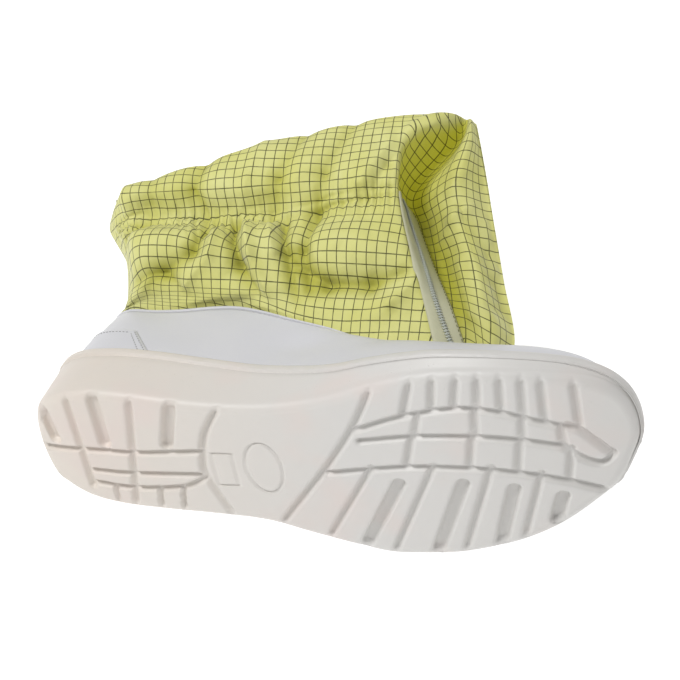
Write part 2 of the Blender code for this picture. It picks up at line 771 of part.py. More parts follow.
def leaning_ring_point(ring, place, under):
    """A point of one of the leaning rings, on the medial layer or the one under it."""
    heel, crease, zip_x, valley, panel_x, front = (share * SHAFT_FLAT for share in ring[:6])
    up_heel, up_middle, up_front = (share * SHAFT_RISE for share in ring[6:9])
    out_panel, out_crease, out_zip, out_valley, out_front_panel, out_front = (
        share * SHAFT_DEPTH for share in ring[9:15])
    under_up, under_out = ring[15] * SHAFT_RISE, ring[16] * SHAFT_DEPTH
    weight = edge_weight(place)
    edge_up, edge_out = (up_heel, under_out / 2.0) if place < 0.5 else (up_front, out_front)
    if under:
        x = heel + (front - heel) * place
        up = edge_up + (under_up - edge_up) * weight
        out = edge_out + (under_out - edge_out) * weight
        return leaning_point(x, up, out)
    across = [
        (0.0, heel, out_panel),
        (PANEL_PLACE, heel + (crease - heel) * PANEL_PLACE / CREASE_PLACE, out_panel),
        (CREASE_PLACE, crease, out_crease),
        (ZIP_PLACE, zip_x, out_zip),
        (VALLEY_PLACE, valley, out_valley),
        (FRONT_PANEL_PLACE, panel_x, out_front_panel),
        (1.0, front, out_front),
    ]
    along = [(0.0, up_heel), (0.5, up_middle), (1.0, up_front)]
    x = smooth_value(across, place, 1)
    up = smooth_value(along, place, 1)
    out = smooth_value(across, place, 2)
    return leaning_point(x, up, edge_out + (out - edge_out) * weight)


def collar_ring_points(place, under):
    """Points of the shaft at the collar: tucked in, at the edge and twice over the binding."""
    column = -place * STATIONS if under else place * STATIONS
    direction = edge_direction(column)
    tucked = upper_offset(column, SHAFT_TUCK, -UPPER_WALL - SHAFT_TUCK_GAP)
    edge = upper_offset(column, 1.0, -UPPER_WALL - SHAFT_EDGE_GAP)
    over = upper_offset(column, 1.0, BINDING_OVERHANG) + direction * (BINDING_HEIGHT + SHAFT_OVER_BINDING)
    return [tucked, edge, edge + direction * (BINDING_HEIGHT + SHAFT_EDGE_GAP), over]


def shaft_path(place, under, laid):
    """Points of the shaft, ring by ring, at one place around it; all in shoe coordinates."""
    unlaid = laid.inverted()
    points = collar_ring_points(place, under)
    points += [leaning_ring_point(ring, place, under) for ring in SHAFT_RINGS]
    top = laid @ leaning_ring_point(SHAFT_RINGS[-1], place, False)
    bottom = laid @ leaning_ring_point(SHAFT_RINGS[-1], place, True)
    crest = (top + bottom) / 2.0
    weight = edge_weight(place)
    side = -1.0 if under else 1.0
    for fold, tail, height, thickness, turn, spread in FOLDED_RINGS:
        angle = math.radians(turn)
        half = thickness * SHAFT_TAIL_HALF * weight * side
        x = bottom.x if under else top.x + (bottom.x - top.x) * spread
        y = crest.y + fold * SHAFT_FOLD_OUT + tail * SHAFT_TAIL + half * math.cos(angle)
        z = SHAFT_TAIL_HALF + (crest.z - SHAFT_TAIL_HALF) * height + half * math.sin(angle)
        points.append(unlaid @ Vector((x, y, z)))
    return points


def shaft_loops(laid):
    """The outer loops of the shaft, from its tucked end to its open end."""
    around = [(step / SHAFT_TOP_SAMPLES, False) for step in range(SHAFT_TOP_SAMPLES)]
    around += [(1.0 - step / SHAFT_UNDER_SAMPLES, True) for step in range(SHAFT_UNDER_SAMPLES)]
    paths = []
    for place, under in around:
        path = shaft_path(place, under, laid)
        paths.append([(float(index), *point) for index, point in enumerate(path)])
    return [[Vector([smooth_value(path, row, axis) for axis in (1, 2, 3)]) for path in paths]
            for row in SHAFT_ROWS]


def shaft_offset(loops, row, index, distance):
    """A point at a distance outside a vertex of the shaft's outer loops."""
    loop = loops[row]
    above = loops[min(row + 1, len(loops) - 1)]
    below = loops[max(row - 1, 0)]
    tangent = loop[(index + 1) % len(loop)] - loop[index - 1]
    outwards = tangent.cross(above[index] - below[index]).normalized()
    return loop[index] + outwards * distance


def build_shaft(loops, finish):
    """Make the hollow cloth shaft: tucked into the collar, gathered, folded over and open at its end."""
    count = len(loops[0])
    inner = [[shaft_offset(loops, row, index, -CLOTH_WALL) for index in range(count)]
             for row in range(len(loops))]
    walls = loops + inner[::-1]
    vertices = [point for loop in walls for point in loop]
    return mesh_object("shaft", vertices, tube_faces(len(walls), count, closed=True), finish)


def closed_strip(name, sections, finish):
    """Make a solid strip from sections of equal size, closed at both ends."""
    size = len(sections[0])
    vertices = [point for section in sections for point in section]
    faces = tube_faces(len(sections), size)
    last = (len(sections) - 1) * size
    faces.append(tuple(reversed(range(size))))
    faces.append(tuple(range(last, last + size)))
    return mesh_object(name, vertices, faces, finish)


def build_zip_tape(loops, finish):
    """Make the tape of the zip, which lies on the shaft between its crease and its valley."""
    first = round(CREASE_PLACE * SHAFT_TOP_SAMPLES) + 1
    columns = range(first, round(VALLEY_PLACE * SHAFT_TOP_SAMPLES) + 1)
    sections = []
    for row in range(ZIP_FROM_ROW, ZIP_TO_ROW + 1):
        section = [shaft_offset(loops, row, index, CLEARANCE) for index in columns]
        section += [shaft_offset(loops, row, index, CLEARANCE + TAPE_THICKNESS)
                    for index in reversed(columns)]
        sections.append(section)
    return closed_strip("zip_tape", sections, finish)


def build_zip_teeth(loops, finish):
    """Make the closed coil of the zip along the middle of its tape."""
    index = round(ZIP_PLACE * SHAFT_TOP_SAMPLES)
    base = CLEARANCE + TAPE_THICKNESS + TEETH_GAP
    sections = []
    for row in range(ZIP_FROM_ROW, ZIP_TO_ROW + 1):
        foot = shaft_offset(loops, row, index, base)
        head = shaft_offset(loops, row, index, base + TEETH_HEIGHT)
        across = (loops[row][index + 1] - loops[row][index - 1]).normalized()
        sections.append([
            foot - across * TEETH_FOOT, foot + across * TEETH_FOOT,
            head + across * TEETH_HEAD, head - across * TEETH_HEAD,
        ])
    return closed_strip("zip_teeth", sections, finish)


def resting_normal(objects):
    """The downward direction in which the boot rests on its outer side, on three points of its hull."""
    hull = bmesh.new()
    for obj in objects:
        for vertex in obj.data.vertices:
            hull.verts.new(vertex.co / MM)
    made = bmesh.ops.convex_hull(hull, input=hull.verts)
    centre = Vector((CENTRE_ALONG * SOLE_LENGTH, 0.0, CENTRE_UP * COLLAR_HEIGHT))
    sideways = Vector((0.0, 1.0, 0.0))
    best, normal = math.inf, sideways
    for face in [item for item in made["geom"] if isinstance(item, bmesh.types.BMFace)]:
        outwards = face.normal
        if outwards.dot(face.calc_center_median() - centre) < 0.0:
            outwards = -outwards
        slope = outwards.dot(sideways)
        if slope > LEAST_SLOPE:
            distance = outwards.dot(face.verts[0].co - centre) / slope
            if distance < best:
                best, normal = distance, outwards.copy()
    hull.free()
    return normal


def lay_matrix(objects):
    """The matrix that lays the boot down, from shoe coordinates to the world, both in millimetres."""
    z_axis = -resting_normal(objects)
    along = Vector((1.0, 0.0, 0.0))
    x_axis = (along - z_axis * along.dot(z_axis)).normalized()
    turn = Matrix((x_axis, z_axis.cross(x_axis), z_axis)).to_4x4()
    low = min((turn @ (vertex.co / MM)).z for obj in objects for vertex in obj.data.vertices)
    return Matrix.Translation((0.0, 0.0, -low)) @ turn


def clear_scene():
    """Remove every object from the scene."""
    for obj in list(bpy.data.objects):
        bpy.data.objects.remove(obj)


def lay_down(objects, laid):
    """Lay the pieces down in metres, with the middle of their bounds over the origin."""
    stand = bpy.data.objects.new("laid_on_its_side", None)
    bpy.context.scene.collection.objects.link(stand)
    metres = laid.copy()
    metres.translation = laid.translation * MM
    places = [metres @ vertex.co for obj in objects for vertex in obj.data.vertices]
    middle = [(min(place[axis] for place in places) + max(place[axis] for place in places)) / 2.0
              for axis in range(2)]
    for obj in objects:
        obj.parent = stand
    stand.matrix_world = Matrix.Translation((-middle[0], -middle[1], 0.0)) @ metres


def main():
    """Build the boot."""
    clear_scene()
    rubber = material("moulded_polyurethane", (0.80, 0.77, 0.72), 0.45)
    leather = material("white_upper", (0.85, 0.85, 0.87), 0.4)
    felt = material("insole_felt", (0.75, 0.75, 0.75), 0.9)
    cloth = material("gridded_cloth", (0.62, 0.66, 0.22), 0.7)
    tape = material("zip_nylon", (0.70, 0.72, 0.66), 0.6)
    sole = build_sole(rubber)
    upper = build_upper(leather)
    counter = build_heel_counter(leather)
    binding = build_collar_binding(leather)
    laid = lay_matrix([sole, upper, counter, binding])
    loops = shaft_loops(laid)
    others = [build_insole(felt), build_shaft(loops, cloth), build_zip_tape(loops, tape),
              build_zip_teeth(loops, tape)]
    lay_down([sole, upper, counter, binding] + others, laid)


main()
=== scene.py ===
"""Dresses the cleanroom boot: a moulded sole with its tread, a white upper, a gridded cloth shaft and a zip.

The boot is worked out in shoe coordinates, in millimetres: X from heel to toe, Y to the outer side and Z up
from the tread. Every piece is then laid down in metres, in the row's frame.
"""

from __future__ import annotations

import logging
import math
from dataclasses import dataclass, field
from enum import Enum
from typing import Callable, Iterable, Sequence

import bmesh
import bpy
import numpy as np
from mathutils import Matrix, Vector

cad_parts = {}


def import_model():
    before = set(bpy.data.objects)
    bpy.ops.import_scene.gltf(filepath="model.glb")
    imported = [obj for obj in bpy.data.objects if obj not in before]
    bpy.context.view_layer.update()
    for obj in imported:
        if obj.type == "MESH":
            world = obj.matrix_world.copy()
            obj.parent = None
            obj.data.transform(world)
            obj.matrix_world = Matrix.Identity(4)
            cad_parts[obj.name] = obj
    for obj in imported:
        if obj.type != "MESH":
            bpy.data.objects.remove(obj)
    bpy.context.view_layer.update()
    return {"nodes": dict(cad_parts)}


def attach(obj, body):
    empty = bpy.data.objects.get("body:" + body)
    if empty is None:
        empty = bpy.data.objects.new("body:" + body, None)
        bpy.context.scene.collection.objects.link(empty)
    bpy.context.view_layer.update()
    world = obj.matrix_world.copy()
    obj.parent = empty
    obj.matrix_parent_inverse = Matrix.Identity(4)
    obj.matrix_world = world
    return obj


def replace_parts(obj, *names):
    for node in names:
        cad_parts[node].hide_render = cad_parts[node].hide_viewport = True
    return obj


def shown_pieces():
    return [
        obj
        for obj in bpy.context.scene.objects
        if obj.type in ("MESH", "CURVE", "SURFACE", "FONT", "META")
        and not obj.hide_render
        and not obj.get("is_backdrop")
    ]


LOG = logging.getLogger("boot")
MM = 0.001

# The turn that lays the boot on its outer side, and where that puts the shoe's origin, metres
LAID_ROWS = (
    (0.9887147, 0.1482544, 0.0215360, -0.1361030),
    (0.0000000, -0.1437547, 0.9896133, -0.1183727),
    (0.1498104, -0.9784453, -0.1421324, 0.0348336),
)


class Side(Enum):
    """A side of the shoe, with the sign that its points have along Y."""

    MEDIAL = -1
    LATERAL = 1


class Operation(Enum):
    """Math operations that shader expressions use."""

    ADD = "ADD"
    SUBTRACT = "SUBTRACT"
    MULTIPLY = "MULTIPLY"
    DIVIDE = "DIVIDE"
    MINIMUM = "MINIMUM"
    MAXIMUM = "MAXIMUM"
    ABSOLUTE = "ABSOLUTE"
    FRACTION = "FRACT"


# Tables of the last and the sole, as shares of the named sizes
# Outline: along, medial half width, lateral half width
OUTLINE = (
    (0.000, -0.030, 0.030), (0.010, 0.150, 0.185), (0.030, 0.243, 0.232), (0.070, 0.300, 0.292),
    (0.130, 0.326, 0.337), (0.210, 0.318, 0.360), (0.300, 0.298, 0.377), (0.390, 0.290, 0.402),
    (0.460, 0.304, 0.460), (0.530, 0.342, 0.515), (0.595, 0.402, 0.555), (0.650, 0.443, 0.551),
    (0.705, 0.468, 0.538), (0.765, 0.469, 0.502), (0.820, 0.457, 0.455), (0.875, 0.432, 0.380),
    (0.930, 0.388, 0.265), (0.965, 0.330, 0.170), (0.990, 0.235, 0.020), (1.000, 0.090, -0.090),
)
# Top of the side wall: along, height
WALL_TOP = (
    (0.000, 1.130), (0.055, 1.100), (0.115, 1.020), (0.200, 0.980), (0.300, 0.910), (0.390, 0.810),
    (0.453, 0.740), (0.500, 0.665), (0.575, 0.540), (0.650, 0.440), (0.730, 0.400), (0.800, 0.415),
    (0.850, 0.455), (0.910, 0.515), (1.000, 0.560),
)
# Bed: along, depth below the top of the wall
BED = ((0.0, 1.0), (0.45, 1.0), (0.65, 0.70), (0.85, 0.62), (1.0, 0.50))
# Draft of the side wall: along, share
DRAFT = ((0.0, 0.0), (0.12, 0.15), (0.35, 1.0), (0.85, 1.0), (1.0, 0.4))
# Collar: place along the sole, then along the collar, half width and height
COLLAR = (
    (0.000, 0.000, -0.010, 1.000), (0.010, 0.008, 0.330, 0.990), (0.035, 0.028, 0.630, 0.965),
    (0.090, 0.085, 0.855, 0.912), (0.157, 0.168, 0.935, 0.856), (0.216, 0.240, 0.984, 0.834),
    (0.279, 0.315, 1.000, 0.850), (0.331, 0.376, 1.000, 0.850), (0.390, 0.445, 0.984, 0.812),
    (0.460, 0.528, 0.968, 0.742), (0.540, 0.620, 0.935, 0.680), (0.627, 0.713, 0.887, 0.600),
    (0.714, 0.805, 0.823, 0.535), (0.801, 0.885, 0.694, 0.540), (0.889, 0.949, 0.468, 0.615),
    (0.958, 0.986, 0.242, 0.670), (1.000, 1.000, 0.000, 0.690),
)
# Arc of the upper: along, degrees turned, squareness
ARC = (
    (0.00, 52.0, 2.0), (0.10, 50.0, 2.0), (0.35, 48.0, 2.0), (0.50, 60.0, 2.0), (0.65, 74.0, 2.0),
    (0.80, 80.0, 2.0), (1.00, 82.0, 1.85),
)

# Tread grooves: along and across, medial positive
LONG_GROOVES = (
    ((0.000, -0.016), (0.085, -0.002), (0.185, -0.014), (0.309, 0.005)),
    ((0.090, -0.122), (0.162, -0.135), (0.290, -0.129)),
    ((0.091, -0.195), (0.159, -0.220), (0.250, -0.204), (0.300, -0.148)),
    ((0.572, 0.145), (0.652, 0.223), (0.732, 0.265), (0.794, 0.245), (0.850, 0.190), (0.905, 0.140)),
    ((0.580, 0.091), (0.670, 0.121), (0.754, 0.121), (0.823, 0.097), (0.890, 0.051)),
    ((0.515, -0.091), (0.640, -0.045), (0.735, -0.043), (0.810, -0.070), (0.884, -0.125), (0.962, -0.215)),
    ((0.375, 0.330), (0.356, 0.255), (0.320, 0.106), (0.303, -0.054), (0.304, -0.146), (0.330, -0.344),
     (0.345, -0.450)),
    ((0.622, 0.420), (0.578, 0.190), (0.520, -0.040), (0.434, -0.330), (0.392, -0.480)),
)
# Grooves across a row: start and end, along and across
CROSS_GROOVES = (
    (0.088, 0.340, 0.084, -0.215), (0.209, 0.360, 0.150, -0.380), (0.684, 0.480, 0.657, 0.245),
    (0.713, 0.490, 0.701, 0.270), (0.749, 0.490, 0.735, 0.278), (0.777, 0.490, 0.770, 0.270),
    (0.808, 0.480, 0.804, 0.258), (0.838, 0.470, 0.835, 0.220), (0.864, 0.460, 0.865, 0.190),
    (0.908, 0.430, 0.913, 0.150), (0.679, 0.243, 0.669, 0.136), (0.765, 0.272, 0.762, 0.136),
    (0.833, 0.222, 0.830, 0.110), (0.886, 0.160, 0.888, 0.068), (0.664, 0.130, 0.647, -0.030),
    (0.756, 0.134, 0.746, -0.030), (0.826, 0.105, 0.818, -0.058), (0.899, 0.040, 0.892, -0.115),
    (0.590, -0.050, 0.480, -0.520), (0.690, -0.030, 0.594, -0.570), (0.778, -0.040, 0.715, -0.540),
    (0.852, -0.080, 0.808, -0.500),
)
# Narrow cuts in the heel's outer edge and wide slots, laid out as CROSS_GROOVES is
HEEL_SIPES = ((0.126, -0.205, 0.124, -0.360), (0.210, -0.205, 0.200, -0.390), (0.254, -0.195, 0.240, -0.400))
WIDE_SLOTS = (
    (0.033, 0.205, 0.040, 0.050), (0.138, 0.360, 0.134, 0.040), (0.283, 0.350, 0.247, 0.040),
    (0.630, -0.135, 0.540, -0.570), (0.732, -0.127, 0.664, -0.580), (0.809, -0.157, 0.770, -0.540),
    (0.880, -0.212, 0.868, -0.325),
)
# Loop of the groove around the drop-shaped pad near the toe
TOE_DROP = (
    (0.896, 0.160), (0.915, 0.124), (0.949, 0.020), (0.958, -0.012), (0.943, -0.048), (0.924, -0.032),
    (0.902, 0.012), (0.883, 0.064),
)
# Bare oval and bare frame: centre along and across, half sizes
OVAL_PLACE = (0.409, -0.072, 0.031, 0.137)
FRAME_PLACE = (0.340, -0.090, 0.018, 0.090)
OVAL_STEPS = 41
# Degrees around the rounded edge of the tread, and shares of the way up the side wall, at which loops lie
EDGE_ANGLES = (18.0, 38.0, 58.0, 76.0, 90.0)
WALL_SHARES = (0.2, 0.4, 0.6, 0.8, 0.95)
# Waves around the parting line, each with a phase of its own
FLASH_WAVES = (23, 41, 67, 97, 139, 181)

# Soft dents in the upper's quarters: centre along and up, half sizes, depth, millimetres
MEDIAL_DENTS = ((128.0, 48.0, 15.0, 9.0, 1.5),)
BOTH_SIDES_DENTS = ((66.0, 60.0, 13.0, 11.0, 0.7), (168.0, 44.0, 12.0, 7.0, 0.8))

# Shaft rings that lean away from the collar; the columns are those of SHAFT_COLUMNS
SHAFT_COLUMNS = (
    "heel", "crease", "zip", "valley", "front_panel", "front", "up_heel", "up_middle", "up_front",
    "out_panel", "out_crease", "out_zip", "out_valley", "out_front_panel", "out_front", "under_up",
    "under_out",
)
SHAFT_RINGS = (
    (0.047, 0.900, 0.941, 0.992, 1.074, 1.121, 0.08, 0.00, -0.20,
     0.20, 0.22, 0.16, 0.02, 0.08, -0.28, -0.24, -1.15),
    (0.022, 0.855, 0.883, 0.915, 1.024, 1.078, 0.31, 0.24, 0.14,
     0.28, 0.20, -0.04, -0.45, -0.12, -0.50, 0.00, -1.18),
    (-0.033, 0.818, 0.829, 0.850, 0.960, 1.041, 0.46, 0.46, 0.47,
     -0.05, 0.08, -0.20, -0.75, -0.25, -0.55, 0.24, -1.12),
    (-0.030, 0.811, 0.800, 0.815, 0.945, 1.017, 0.55, 0.63, 0.70,
     0.15, 0.10, -0.30, -0.82, -0.30, -0.55, 0.42, -1.00),
    (-0.012, 0.808, 0.870, 0.925, 0.974, 0.999, 0.60, 0.86, 0.89,
     0.10, 0.05, -0.05, -0.58, -0.25, -0.40, 0.60, -0.85),
    (-0.008, 0.890, 0.940, 0.962, 0.978, 0.988, 0.62, 0.97, 0.97,
     -0.15, -0.15, -0.20, -0.34, -0.28, -0.38, 0.74, -0.76),
)
# Shaft rings beyond the crest: fold, tail, height, thickness, turn, spread
FOLDED_RINGS = (
    (0.85, 0.0, 0.78, 1.30, 30.0, 0.1), (1.00, 0.0, 0.46, 1.00, 4.0, 0.3),
    (1.10, 0.0, 0.19, 0.95, 14.0, 0.5), (1.30, 0.35, 0.045, 0.95, 50.0, 0.7),
    (1.30, 1.2, 0.0, 1.00, 86.0, 0.9), (1.30, 2.1, 0.0, 1.00, 90.0, 1.0),
)
# Rows of the shaft's grid between its rings: from, to, how many, whether the last is on the end
RING_SPANS = (
    (0.0, 3.0, 3, False), (3.0, 5.3, 46, False), (5.3, 6.7, 52, False), (6.7, 9.0, 36, True),
    (9.2, 15.0, 26, True),
)
# Spans of ring numbers over which parts of the shaft fade in or out
BODY_IN, BODY_OUT = (3.05, 4.1), (9.2, 11.5)
LOOSE_IN, LOOSE_OUT = (9.0, 11.0), (13.2, 14.6)
POCKET_IN = (5.6, 7.2)
CREST_IN, BAND_OUT = (7.0, 7.7), (7.9, 8.8)
# Spans of places around a ring: the layer on top fades in, the front panel out at its folded edge
TOP_IN = (0.0, 0.05)
FRONT_OUT = (0.96, 1.0)

# The elastic's line on the shaft: along the shoe and up the leaning plane, millimetres
ELASTIC = ((8.0, 42.0), (22.0, 44.0), (43.0, 41.0), (85.0, 41.0), (114.0, 44.0), (130.0, 48.0), (164.0, 52.0))
# Waves along the elastic: height, length over a full turn, phase
PUCKER_WANDER = ((1.3, 9.0, 0.0), (0.8, 4.1, 1.0))
PUCKER_UNEVEN = ((0.35, 13.0, 0.7),)
PUCKER_REACH = ((0.4, 6.3, 2.0),)
# Puckers: share, rate, phase
PUCKERS = ((1.0, 1.0, 0.0), (0.55, 0.47, 1.0), (0.35, 1.83, 2.0))
# Lines sewn beside the elastic: how far above it, half width, depth, waves of the depth
ELASTIC_LINES = ((0.0, 1.2, 1.1, ((0.5, 7.7, 0.0),)), (4.4, 1.1, 0.5, ((0.4, 5.9, 1.0),)))

# Soft folds of the shaft: from along, up, to along, up, half width and height, millimetres
SHAFT_FOLDS = (
    (78, 41, 87, 14, 3.4, -5.5), (87, 14, 103, -7, 3.2, -3.5),
    (86, 38, 94, 19, 3.2, 3.4), (94, 19, 106, -5, 3.4, 3.0),
    (106, 39, 111, 20, 2.8, -5.0), (111, 20, 118, -8, 3.0, -3.6),
    (100, 36, 106, 20, 3.0, 2.6),
    (64, 36, 60, 22, 4.0, -4.0), (60, 22, 34, 2, 5.0, -3.2),
    (72, 34, 72, 19, 3.6, 2.6), (72, 19, 58, 5, 4.0, 2.4),
    (123, 44, 120, 22, 4.0, -3.6), (120, 22, 124, 2, 4.2, -3.6),
    (116, 14, 134, 4, 4.0, -3.8), (134, 4, 156, 4, 4.6, -4.2), (156, 4, 178, 12, 4.0, -3.2),
    (152, -18, 168, -8, 5.0, 2.6), (168, -8, 178, 4, 4.5, 2.8),
    (28, 8, 44, 11, 4.0, -2.4), (44, 11, 70, -8, 4.4, -2.8),
    (8, 33, 24, 41, 3.0, -3.4),
    (62, 44, 53, 57, 4.0, -2.2), (53, 57, 58, 74, 5.5, -2.6),
    (79, 44, 85, 62, 4.6, 1.6), (85, 62, 90, 84, 6.0, 1.4),
    (98, 44, 101, 62, 3.6, -2.2), (101, 62, 114, 94, 4.6, -1.8),
    (122, 46, 126, 64, 3.6, -2.0), (126, 64, 138, 94, 4.6, -1.8),
    (150, 51, 158, 68, 3.6, -2.0), (158, 68, 176, 93, 4.6, -1.8),
    (146, 58, 160, 80, 5.0, 2.4),
    (30, 48, 28, 72, 7.0, -1.6), (14, 50, 12, 64, 4.0, 1.6),
)
# Soft bellies of the shaft: centre along and up, half sizes, height, millimetres
SHAFT_BELLIES = (
    (147, 27, 23, 14, 4.0), (41, 28, 17, 10, 2.8), (92, 30, 7, 8, 1.6), (151, 64, 11, 9, 2.0),
    (34, -8, 30, 9, 4.2), (84, -10, 26, 9, 3.0), (126, -14, 18, 8, 2.0), (70, 62, 9, 12, 1.6),
    (112, 66, 7, 14, 1.4),
)
# Folds of the front panel beside the zip, laid out as SHAFT_FOLDS is
PANEL_FOLDS = (
    (185, 36, 191, 46, 4.0, 1.6), (191, 46, 198, 52, 4.0, 1.2), (193, 51, 206, 27, 3.4, -3.0),
    (206, 27, 216, -3, 4.0, -2.6), (204, 44, 212, 18, 3.6, 1.8), (196, 20, 206, -10, 4.0, 2.0),
    (189, 62, 196, 84, 4.0, 1.6), (184, 22, 198, -16, 2.6, -1.6),
)

# Degrees around a rib of the coil at which its corners lie
RIB_CORNERS = (45.0, 135.0, 225.0, 315.0)
# Half of a stitch's outline: along, as a share of its length, and out, as a share of its radius
STITCH_PROFILE = ((-0.5, 0.35), (-0.36, 0.9), (0.36, 0.9), (0.5, 0.35))

# Nylon, threads and felt: colour, roughness and the size of their ribs in millimetres
FIBRES = {
    "white_thread": ((0.30, 0.30, 0.29), 0.55, 0.5),
    "zip_tape_nylon": ((0.55, 0.545, 0.37), 0.5, 0.7),
    "zip_coil_nylon": ((0.50, 0.53, 0.47), 0.35, 0.6),
    "dark_thread": ((0.16, 0.16, 0.05), 0.6, 0.5),
    "grey_felt": ((0.62, 0.62, 0.62), 0.9, 1.2),
}

# Soft lights: name, place, size in metres, power in watts
LIGHTS = (
    ("key_softbox", (-0.40, -0.34, 1.04), 0.36, 7.6),
    ("front_fill", (0.20, -1.30, 0.20), 0.80, 0.6),
    ("rim_strip", (0.70, 0.60, 0.75), 0.60, 1.6),
)


def smooth_span(start: np.ndarray, end: np.ndarray, slope_in: np.ndarray, slope_out: np.ndarray,
                t: np.ndarray) -> np.ndarray:
    """Smooth curve from start to end with a slope at each, at shares t of the way."""
    t2, t3 = t * t, t * t * t
    return ((2 * t3 - 3 * t2 + 1) * start + (t3 - 2 * t2 + t) * slope_in
            + (3 * t2 - 2 * t3) * end + (t3 - t2) * slope_out)


def read_table(rows: Sequence[Sequence[float]], place: np.ndarray | float, column: int) -> np.ndarray:
    """Read a column of a table on a smooth curve through its rows.

    Args:
        rows: The table; the first column is the place.
        place: Where to read it.
        column: Which column to read.

    Returns:
        The values at the places.
    """
    table = np.asarray(rows, float)
    place = np.asarray(place, float)
    last = len(table) - 1
    index = np.clip(np.searchsorted(table[:, 0], place, side="left") - 1, 0, last - 1)
    before, start = table[np.maximum(index - 1, 0)], table[index]
    end, after = table[index + 1], table[np.minimum(index + 2, last)]
    span = end[..., 0] - start[..., 0]
    t = np.clip((place - start[..., 0]) / span, 0.0, 1.0)
    with np.errstate(divide="ignore", invalid="ignore"):
        slope_in = (end[..., column] - before[..., column]) / (end[..., 0] - before[..., 0]) * span
        slope_out = (after[..., column] - start[..., column]) / (after[..., 0] - start[..., 0]) * span
    return smooth_span(start[..., column], end[..., column], slope_in, slope_out, t)


def by_turn(rows: Sequence[Sequence[float]]) -> tuple[tuple[float, ...], ...]:
    """Replace each row's place by its angle, so that rounded ends stay smooth."""
    return tuple((math.acos(1.0 - 2.0 * row[0]) / math.pi, *row[1:]) for row in rows)


def soft_step(low: float, high: float, value: np.ndarray) -> np.ndarray:
    """Rise smoothly from 0 at low to 1 at high."""
    t = np.clip((value - low) / (high - low), 0.0, 1.0)
    return t * t * (3.0 - 2.0 * t)


def unit(vectors: np.ndarray) -> np.ndarray:
    """Scale vectors to length 1."""
    return vectors / np.maximum(np.linalg.norm(vectors, axis=-1, keepdims=True), 1e-12)


def to_world(points: np.ndarray) -> np.ndarray:
    """Turn points in shoe coordinates, millimetres, to the row's frame, metres."""
    rows = np.asarray(LAID_ROWS)
    return points * MM @ rows[:, :3].T + rows[:, 3]


def path_distance(x: np.ndarray, y: np.ndarray, path: np.ndarray) -> np.ndarray:
    """Distance of points to a path.

    Args:
        x: The points' places along the shoe.
        y: The points' places across it.
        path: The path's corners, one row each.

    Returns:
        The shortest distance of each point.
    """
    best = np.full(x.shape, np.inf)
    for start, end in zip(path[:-1], path[1:]):
        step = end - start
        share = ((x - start[0]) * step[0] + (y - start[1]) * step[1]) / max(float(step @ step), 1e-9)
        share = np.clip(share, 0.0, 1.0)
        best = np.minimum(best, np.hypot(x - start[0] - share * step[0], y - start[1] - share * step[1]))
    return best


def path_lengths(path: np.ndarray) -> np.ndarray:
    """Length along a path at each of its points."""
    return np.concatenate([[0.0], np.cumsum(np.linalg.norm(np.diff(path, axis=0), axis=-1))])


def read_path(vectors: np.ndarray, lengths: np.ndarray, places: np.ndarray | float) -> np.ndarray:
    """Read a path's vectors at lengths along it."""
    return np.stack([np.interp(places, lengths, vectors[:, axis]) for axis in range(3)], axis=-1)


def inward_directions(flat: np.ndarray) -> np.ndarray:
    """Directions into a flat closed loop that runs towards the toe on its medial side."""
    tangent = unit(np.roll(flat, -1, axis=0) - np.roll(flat, 1, axis=0))
    return np.column_stack([-tangent[:, 1], tangent[:, 0]])


def round_bumps(x: np.ndarray, y: np.ndarray, rows: Sequence[Sequence[float]]) -> np.ndarray:
    """Sum of a table's round bumps: centre in x and y, half sizes and height."""
    height = np.zeros(x.shape)
    for centre_x, centre_y, half_x, half_y, rise in rows:
        height += rise * np.exp(-((x - centre_x) / half_x) ** 2 - ((y - centre_y) / half_y) ** 2)
    return height


def wave_sum(place: np.ndarray, rows: Sequence[Sequence[float]]) -> np.ndarray:
    """Sum of a table's waves: height, length and phase."""
    return sum(height * np.sin(place / length + phase) for height, length, phase in rows)


def grid_normals(points: np.ndarray) -> np.ndarray:
    """Outward directions of a grid whose rows are closed loops."""
    around = np.roll(points, -1, axis=1) - np.roll(points, 1, axis=1)
    return unit(np.cross(around, np.gradient(points, axis=0)))


def grid_faces(rows: int, count: int, closed: bool, first: int = 0) -> np.ndarray:
    """Quads of a grid of vertices; closed joins each row's last vertex to its first."""
    columns = count if closed else count - 1
    row, column = np.meshgrid(np.arange(rows - 1), np.arange(columns), indexing="ij")
    following = (column + 1) % count
    faces = np.stack([row * count + column, row * count + following,
                      (row + 1) * count + following, (row + 1) * count + column], axis=-1)
    return faces.reshape(-1, 4) + first


def tube_faces(rows: int, count: int) -> list[list[int]]:
    """Quads of a hollow wall: closed loops, of which the last joins the first."""
    first, final = np.arange(count), (rows - 1) * count + np.arange(count)
    joint = np.stack([final, np.roll(final, -1), np.roll(first, -1), first], axis=-1)
    return grid_faces(rows, count, True).tolist() + joint.tolist()


